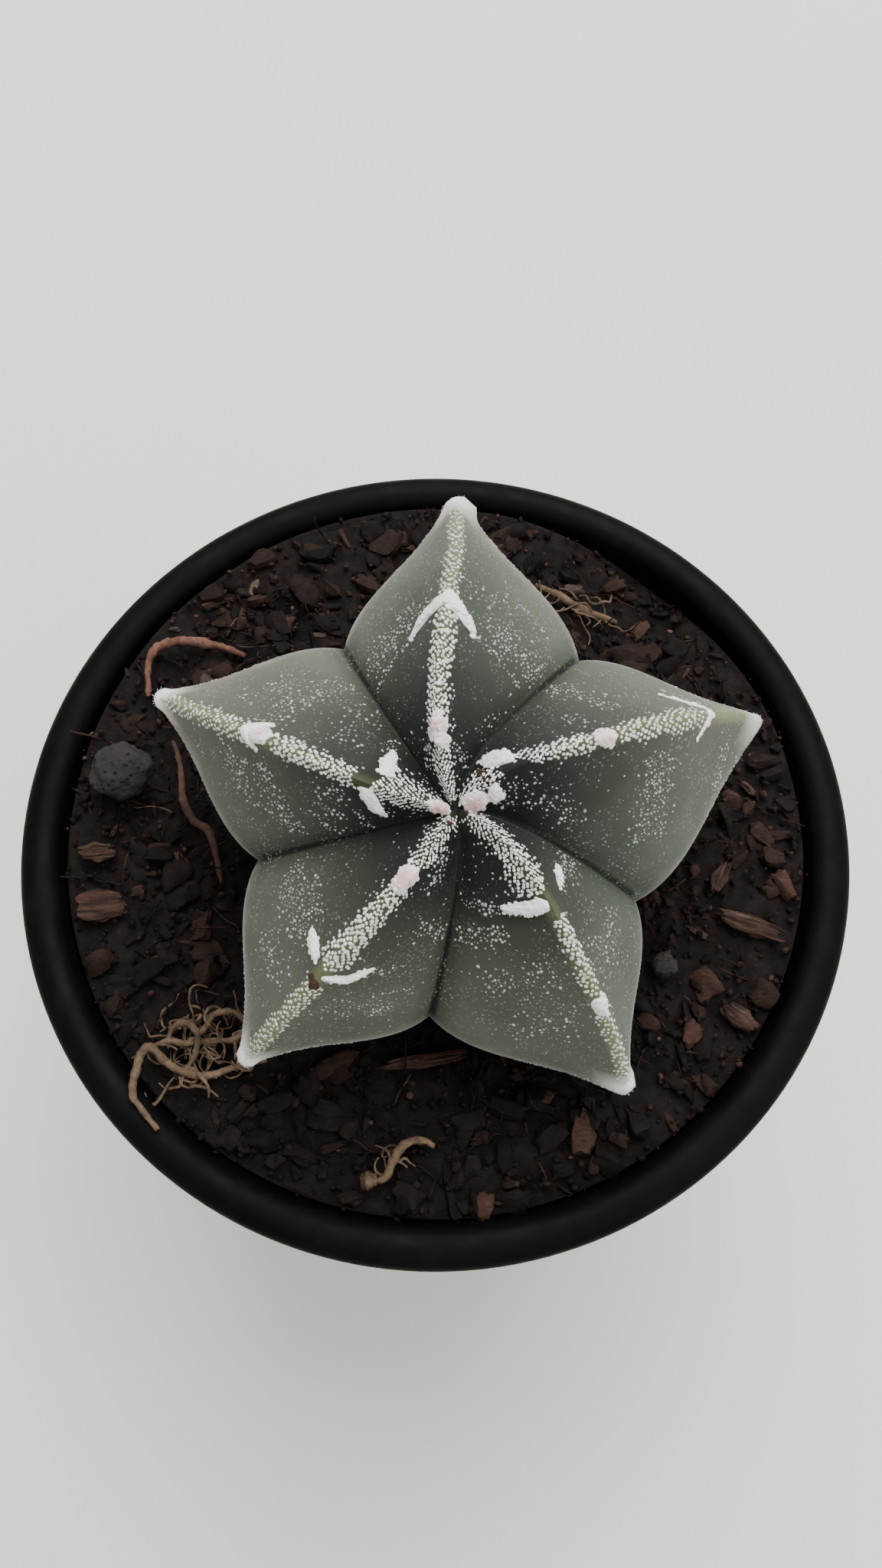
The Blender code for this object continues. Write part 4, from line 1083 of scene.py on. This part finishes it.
def cloud_flecks(rng, bm, shapes):
    """V-shaped clouds of flecks that run from the areoles down the flanks, and a thin scatter between them."""
    clouds = list(CLOUDS)
    for start, end, spread, number in UNDER_CLOUDS:
        for rib in range(RIBS):
            for side in (-1, 1):
                clouds.append((rib, (side * start[0], start[1]), (side * end[0], end[1]), spread, number))
    taken = {}

    def free(point):
        cell = tuple(int(value // CLOUD_APART) for value in point)
        for beside in product(*((value - 1, value, value + 1) for value in cell)):
            if any((other - point).length < CLOUD_APART for other in taken.get(beside, ())):
                return False
        taken.setdefault(cell, []).append(point)
        return True

    def lay(rib, distance, station, scale, tone):
        half = [value * scale for value in CLOUD_FLECK]
        place = fleck_place(rng, rib, distance, station, half, rng.uniform(0, 3.1))
        if place and free(place.translation):
            stamp(bm, rng.choice(shapes), place, tone)

    for rib, first, last, spread, number in clouds:
        for _ in range(int(number * CLOUD_DENSITY)):
            share = rng.random()
            distance = between((first[0], last[0]), share) + rng.gauss(0, 0.3)
            station = between((first[1], last[1]), share) + rng.gauss(0, spread * 0.5) / RIB_LENGTH
            big = rng.random() ** 1.3
            tone = between((0.0, 0.85), rng.random() * 0.6 + big * 0.4)
            lay(rib, distance, station, between((0.5, 1.2), big), tone)
    for _ in range(SCATTER):
        rib = rng.randrange(RIBS)
        station = rng.uniform(0.12, 1.35)
        distance = rng.choice((-1, 1)) * rng.uniform(1.2, 11)
        lay(rib, distance, station, rng.uniform(0.4, 0.8), rng.uniform(0, 0.6))


def make_flecks():
    rng = random.Random(31)
    bm = bmesh.new()
    net_flecks(rng, bm, tuft_stamps(rng, 7, 4))
    close = fleck_finish("crest_flecks", (0.22, 0.225, 0.175), (0.90, 0.885, 0.85))
    add_piece("crest_flecks", bm, close)
    bm = bmesh.new()
    cloud_flecks(rng, bm, tuft_stamps(rng, 5, 3))
    loose = fleck_finish("flank_flecks", (0.15, 0.155, 0.135), (0.56, 0.555, 0.54))
    add_piece("flank_flecks", bm, loose)


def felt_frame(pad, forward, sideways, out):
    """A frame over the skin on a felt pad. Forward runs 0 to 1 along the pad's line, sideways -1 to 1."""
    rib, line, widths, _, _ = pad
    share = clamp(forward)
    here, ahead, back = ([along(row, at) for row in zip(*line)] for at in (share, share + 0.05, share - 0.05))
    way = Vector((ahead[0] - back[0], (ahead[1] - back[1]) * RIB_LENGTH)).normalized()
    beyond = (forward - share) * 2
    width = along(widths, share)
    distance = here[0] + way.x * beyond - way.y * sideways * width
    station = here[1] + (way.y * beyond + way.x * sideways * width) / RIB_LENGTH
    station = max(0.004, station)
    return on_skin(rib, across_at(rib, distance, station), station, out)


def make_felt(finish):
    """Areoles, chevrons and the wool at the apex: felt pads that lie to the skin, and their hairs."""
    rng = random.Random(41)
    bm = bmesh.new()
    blush = bm.verts.layers.float.new("blush")
    tufts = bmesh.new()
    balls = tuft_stamps(rng, 6, 4, "blush")
    hairs = bmesh.new()
    shapes = [as_stamp(thread(rng, 1.0, 0.05, 3, 4, 0.45), "blush") for _ in range(8)]
    for pad in PADS:
        _, line, widths, height, pink = pad
        shift = Vector([rng.uniform(0, 9) for _ in range(3)])
        length = hypot(line[0][0] - line[-1][0], (line[0][1] - line[-1][1]) * RIB_LENGTH)
        area = length * sum(widths) / len(widths) * 1.8

        def spread(x, y):
            blunt = y / max(0.3, sqrt(max(0.0, 1 - x * x))) ** PAD_BLUNTNESS
            ragged = 1 + 0.25 * noise(Vector((x * 3, y * 2, 0)) + shift)
            return 0.5 + 0.5 * x * (1 + 0.25 * noise(Vector((y * 2.5, x, 0)) + shift)), blunt * ragged

        def sown(per_mm2, reach):
            """Random places over the pad: how far each lies from its middle, and a frame there."""
            for _ in range(int(area * per_mm2)):
                x, y = rng.uniform(-reach, reach), rng.uniform(-reach, reach)
                rim = hypot(x, y)
                if rim <= reach:
                    rise = height * MM * sqrt(max(0, 1 - rim * rim)) * 0.85
                    yield rim, felt_frame(pad, *spread(clamp(x, -1, 1), y), rise)

        made = bmesh.ops.create_uvsphere(bm, u_segments=PAD_LENGTHWISE, v_segments=PAD_ROUND, radius=1)["verts"]
        for vert in made:
            x, y, z = vert.co
            puff = 1 + 0.4 * noise(Vector((x * 2.4, y * 2.4, z)) + shift)
            out = height * MM * z * puff if z > 0 else 0.25 * MM * z
            vert.co = felt_frame(pad, *spread(x, y), out).translation
            vert[blush] = pink * clamp(1.5 - 1.5 * hypot(x, y)) + 0.12 * pink
        for rim, place in sown(TUFTS_PER_MM2, 1.1):
            size = rng.uniform(*TUFT)
            turn = Matrix.Rotation(rng.uniform(0, 3), 4, "Z")
            place = place @ turn @ Matrix.Diagonal((size * rng.uniform(1, 1.6), size, size * 0.4, 1))
            stamp(tufts, rng.choice(balls), place, pink * clamp(1.4 - 1.5 * rim))
        for rim, place in sown(HAIRS_PER_MM2, 1):
            stand = Matrix.Rotation(-rng.uniform(0.15, 1.1), 4, "Y")
            hair = Matrix.Scale(rng.uniform(*HAIR_LENGTH), 4)
            place = place @ Matrix.Rotation(rng.uniform(0, 6.3), 4, "Z") @ stand @ hair
            stamp(hairs, rng.choice(shapes), place, pink * max(0.0, 1.3 - 1.5 * rim))
    for frame_here, radius in noses():
        for _ in range(int(NOSE_HAIRS_PER_MM * radius / MM)):
            way = Vector((rng.gauss(0.4, 0.8), rng.gauss(0, 0.8), 1)).normalized()
            point = frame_here @ (way * radius)
            stand = (frame_here.to_3x3() @ way).to_track_quat("X", "Z").to_matrix().to_4x4()
            place = (
                Matrix.Translation(point) @ stand @ Matrix.Rotation(rng.uniform(-1.2, 1.2), 4, "Y")
                @ Matrix.Rotation(rng.uniform(-1.2, 1.2), 4, "Z") @ Matrix.Scale(rng.uniform(*HAIR_LENGTH), 4)
            )
            stamp(hairs, rng.choice(shapes), place, 0.0)
    outward(bm)
    add_piece("felt_pads", bm, finish)
    add_piece("felt_tufts", tufts, finish)
    add_piece("felt_hairs", hairs, finish)


def make_scabs(finish):
    """Small dry brown crusts on the skin."""
    rng = random.Random(43)
    shapes = tuft_stamps(rng, 8, 5)
    bm = bmesh.new()
    for rib, aside, station, size in SCABS:
        for _ in range(3):
            across = across_at(rib, aside + rng.gauss(0, 0.15), station + rng.gauss(0, 0.004))
            half = Matrix.Diagonal((size * MM, size * MM * rng.uniform(0.5, 0.9), size * MM * 0.5, 1))
            shape = rng.choice(shapes)
            stamp(bm, shape, on_skin(rib, across, station, 0.02 * MM, rng.uniform(0, 3)) @ half, 0.75)
    add_piece("skin_scabs", bm, finish)


# Loose things on the mix


def root_path(points, radius, per_span=6):
    """A smooth line through the given points, held over the mix by the gap and the root's own radius."""
    spans = len(points) - 1
    path = []
    for k in range(per_span * spans + 1):
        at = k / per_span
        x, y, lift = (curve_through(range(spans + 1), [p[i] for p in points], at) * MM for i in range(3))
        path.append(Vector((x, y, mix_height(x, y) + GAP + radius * MM + max(lift, 0))))
    return path


def root_tube(bm, path, radius, shift):
    """Adds a root as a closed tube that narrows at its ends, with knots and dents."""
    curve = bpy.data.curves.new("root", "CURVE")
    curve.dimensions = "3D"
    curve.bevel_depth = radius * MM
    curve.bevel_resolution = 3
    curve.use_fill_caps = True
    spline = curve.splines.new("POLY")
    spline.points.add(len(path) - 1)
    for k, point in enumerate(path):
        knot = 1 + 0.22 * noise(Vector((k * 0.45, shift, 0)))
        spline.points[k].co = (*point, 1)
        spline.points[k].radius = between((ROOT_END_SCALE, 1), sin(pi * k / (len(path) - 1))) * knot
    obj = put_in_scene("root", curve)
    made = bmesh.new()
    made.from_mesh(evaluated(obj))
    bpy.data.objects.remove(obj, do_unlink=True)
    bmesh.ops.remove_doubles(made, verts=made.verts, dist=0.001 * MM)
    outward(made)
    made.normal_update()
    for vert in made.verts:
        rough = 0.32 * noise(vert.co / (0.7 * MM)) + 0.22 * noise(vert.co / (0.3 * MM))
        vert.co += vert.normal * radius * MM * rough
    bm.from_mesh(mesh_of(made, "root"))


def add_rootlets(bm, rng, number, corner, opposite, stride):
    """Adds thin curly rootlets that wander over a patch of the mix."""
    for _ in range(number):
        x, y, lift = (rng.uniform(*span) for span in (*zip(corner, opposite), (0.1, 1.1)))
        angle = rng.uniform(0, 6.3)
        bend = rng.choice((-0.5, 0.5))
        points = []
        for _ in range(7):
            points.append((x, y, lift))
            angle += rng.gauss(bend, 0.6)
            x += stride * cos(angle)
            y += stride * sin(angle)
            lift = max(0.0, lift + rng.gauss(0, 0.35))
        radius = rng.uniform(0.08, 0.18)
        root_tube(bm, root_path(points, radius, 4), radius, rng.random())


ROOT_THINNER = {"root_left_arc": 1.15, "root_tangle": 0.7, "root_front": 0.62}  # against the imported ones
ROOT_CLUMP = ((11.5, 23.8), (17.5, 26.0))
ROOT_STUB = ((-6.7, -33.0, 0.15), (-6.0, -32.9, 0.25), (-5.3, -32.8, 0.2))  # the front root's swollen end
ROOT_STUB_RADIUS = 0.85


def make_roots():
    tan = root_finish("tan_root", (0.040, 0.026, 0.016), (0.160, 0.105, 0.064))
    finishes = {
        "root_left_arc": root_finish("red_root", (0.065, 0.030, 0.021), (0.205, 0.100, 0.070)),
        "root_left_low": root_finish("dark_red_root", (0.030, 0.014, 0.010), (0.090, 0.044, 0.032)),
    }
    rng = random.Random(51)
    for name, (radius, points) in ROOTS.items():
        bm = bmesh.new()
        root_tube(bm, root_path(points, radius), radius * ROOT_THINNER.get(name, 1), radius)
        if name == "root_right":
            add_rootlets(bm, rng, 11, *ROOT_CLUMP, 0.75)
        if name == "root_front":
            root_tube(bm, root_path(ROOT_STUB, ROOT_STUB_RADIUS), ROOT_STUB_RADIUS, 0.4)
            add_rootlets(bm, rng, 4, (-5.5, -32.0), (-2.0, -30.0), 0.6)
        add_piece(name + "_dry", bm, finishes.get(name, tan), name)
    bm = bmesh.new()
    for k, points in enumerate(ROOT_TANGLE):
        radius = SIDE_ROOT if k else MAIN_ROOT
        root_tube(bm, root_path(points, radius), radius * ROOT_THINNER["root_tangle"], k + 0.5)
    add_rootlets(bm, rng, 46, (-25.3, -24.0), (-17.8, -18.6), 0.75)
    add_piece("root_tangle_dry", bm, tan, "root_tangle")


def make_bark(finish):
    for name, (x, y, long, wide, thick, turn) in BARK.items():
        rng = random.Random(name)
        bm = cut_cube(9)
        tone = bm.verts.layers.float.new("tone")
        shift = Vector((rng.uniform(0, 30), rng.uniform(0, 30), 0))
        skew = rng.uniform(-1, 1) * 0.3 * wide / long
        for vert in bm.verts:
            x0, y0, z0 = vert.co
            flake = noise(Vector((x0 * 0.7, y0 * 4, z0 * 2)) + shift)
            lump = noise(vert.co * 1.3 + shift)
            frayed = noise(Vector((x0, y0 * 3, z0)) + 2 * shift)
            vert.co.x = x0 * sqrt(1 - 0.12 * y0 * y0) * (0.9 + 0.2 * lump + 0.3 * frayed) + skew * y0
            vert.co.y = y0 * sqrt(1 - 0.12 * x0 * x0) * (0.92 + 0.35 * lump) * (1 - BARK_TAPER * abs(x0))
            vert.co.z = z0 * sqrt(1 - 0.45 * y0 * y0) * (0.85 + 0.3 * flake + 0.2 * lump)
            vert[tone] = 0.67 + 0.4 * flake
        bmesh.ops.scale(bm, vec=Vector((long, wide, thick)) * MM, verts=bm.verts)
        bmesh.ops.rotate(bm, matrix=Matrix.Rotation(radians(turn), 3, "Z"), verts=bm.verts)
        bmesh.ops.translate(bm, vec=(x * MM, y * MM, thick * MM + GAP), verts=bm.verts)
        for vert in bm.verts:
            vert.co.z += mix_height(vert.co.x, vert.co.y)
        add_piece(name + "_worn", bm, finish, name, 50)


def make_pebbles():
    stone = stone_finish()
    for name, (x, y, radius) in PEBBLES.items():
        bm = bmesh.new()
        bmesh.ops.create_icosphere(bm, subdivisions=5, radius=1)
        for vert in bm.verts:
            rough = 0.13 * noise(vert.co * 2.6 + Vector((x, y, 3))) + 0.04 * noise(vert.co * 9)
            vert.co *= 1 + PEBBLE_LUMPS * noise(vert.co + Vector((x, y, 0))) + rough
            vert.co.z *= PEBBLE_FLATNESS
        bmesh.ops.scale(bm, vec=Vector((radius, radius, radius)) * MM, verts=bm.verts)
        rise = mix_height(x * MM, y * MM) + GAP - min(vert.co.z for vert in bm.verts)
        bmesh.ops.translate(bm, vec=(x * MM, y * MM, rise), verts=bm.verts)
        add_piece(name + "_rough", bm, stone, name)


# Stage


def aimed(place, aim):
    """The frame of a lamp or a camera that stands at a place and faces the aim."""
    way = Vector(aim) - Vector(place)
    return Matrix.Translation(place) @ way.to_track_quat("-Z", "Y").to_matrix().to_4x4()


def make_stage():
    bm = bmesh.new()
    bmesh.ops.create_grid(bm, x_segments=4, y_segments=4, size=2.5)
    floor = put_in_scene("floor", mesh_of(bm, "floor"))
    floor.data.materials.append(floor_finish())

    world = bpy.data.worlds.new("soft_room")
    bpy.context.scene.world = world
    world.use_nodes = True
    backdrop = world.node_tree.nodes["Background"]
    backdrop.inputs["Color"].default_value = (0.90, 0.90, 0.895, 1)
    backdrop.inputs["Strength"].default_value = 0.72

    for name, place, size, power, colour in (
        ("window", (0.08, 0.45, 0.80), 0.7, 12.0, (1.0, 1.0, 0.99)),
        ("fill", (0.45, -0.2, 0.65), 0.8, 4.0, (1.0, 0.99, 0.97)),
    ):
        lamp = bpy.data.lights.new(name, "AREA")
        lamp.size = size
        lamp.energy = power
        lamp.color = colour
        put_in_scene(name, lamp).matrix_world = aimed(place, (0, 0, 0.06))


def make_camera():
    data = bpy.data.cameras.new("camera")
    data.lens = CAMERA_LENS
    data.sensor_width = 36
    data.clip_start = 0.005
    camera = put_in_scene("camera", data)
    camera.matrix_world = aimed(CAMERA_PLACE, CAMERA_AIM) @ Matrix.Rotation(CAMERA_ROLL, 4, "Z")
    bpy.context.scene.camera = camera


def main():
    make_camera()
    make_stage()
    make_pot()
    damp = mix_finish("damp_bark_mix", (1, 3, 3))
    make_mix_bed(damp)
    make_chunks(damp)
    make_grains(damp)
    make_fibres(damp)
    make_skin()
    make_flecks()
    make_felt(wool_finish())
    bark = mix_finish("loose_bark", (1, 4, 4))
    make_scabs(bark)
    make_roots()
    make_bark(bark)
    make_pebbles()


main()
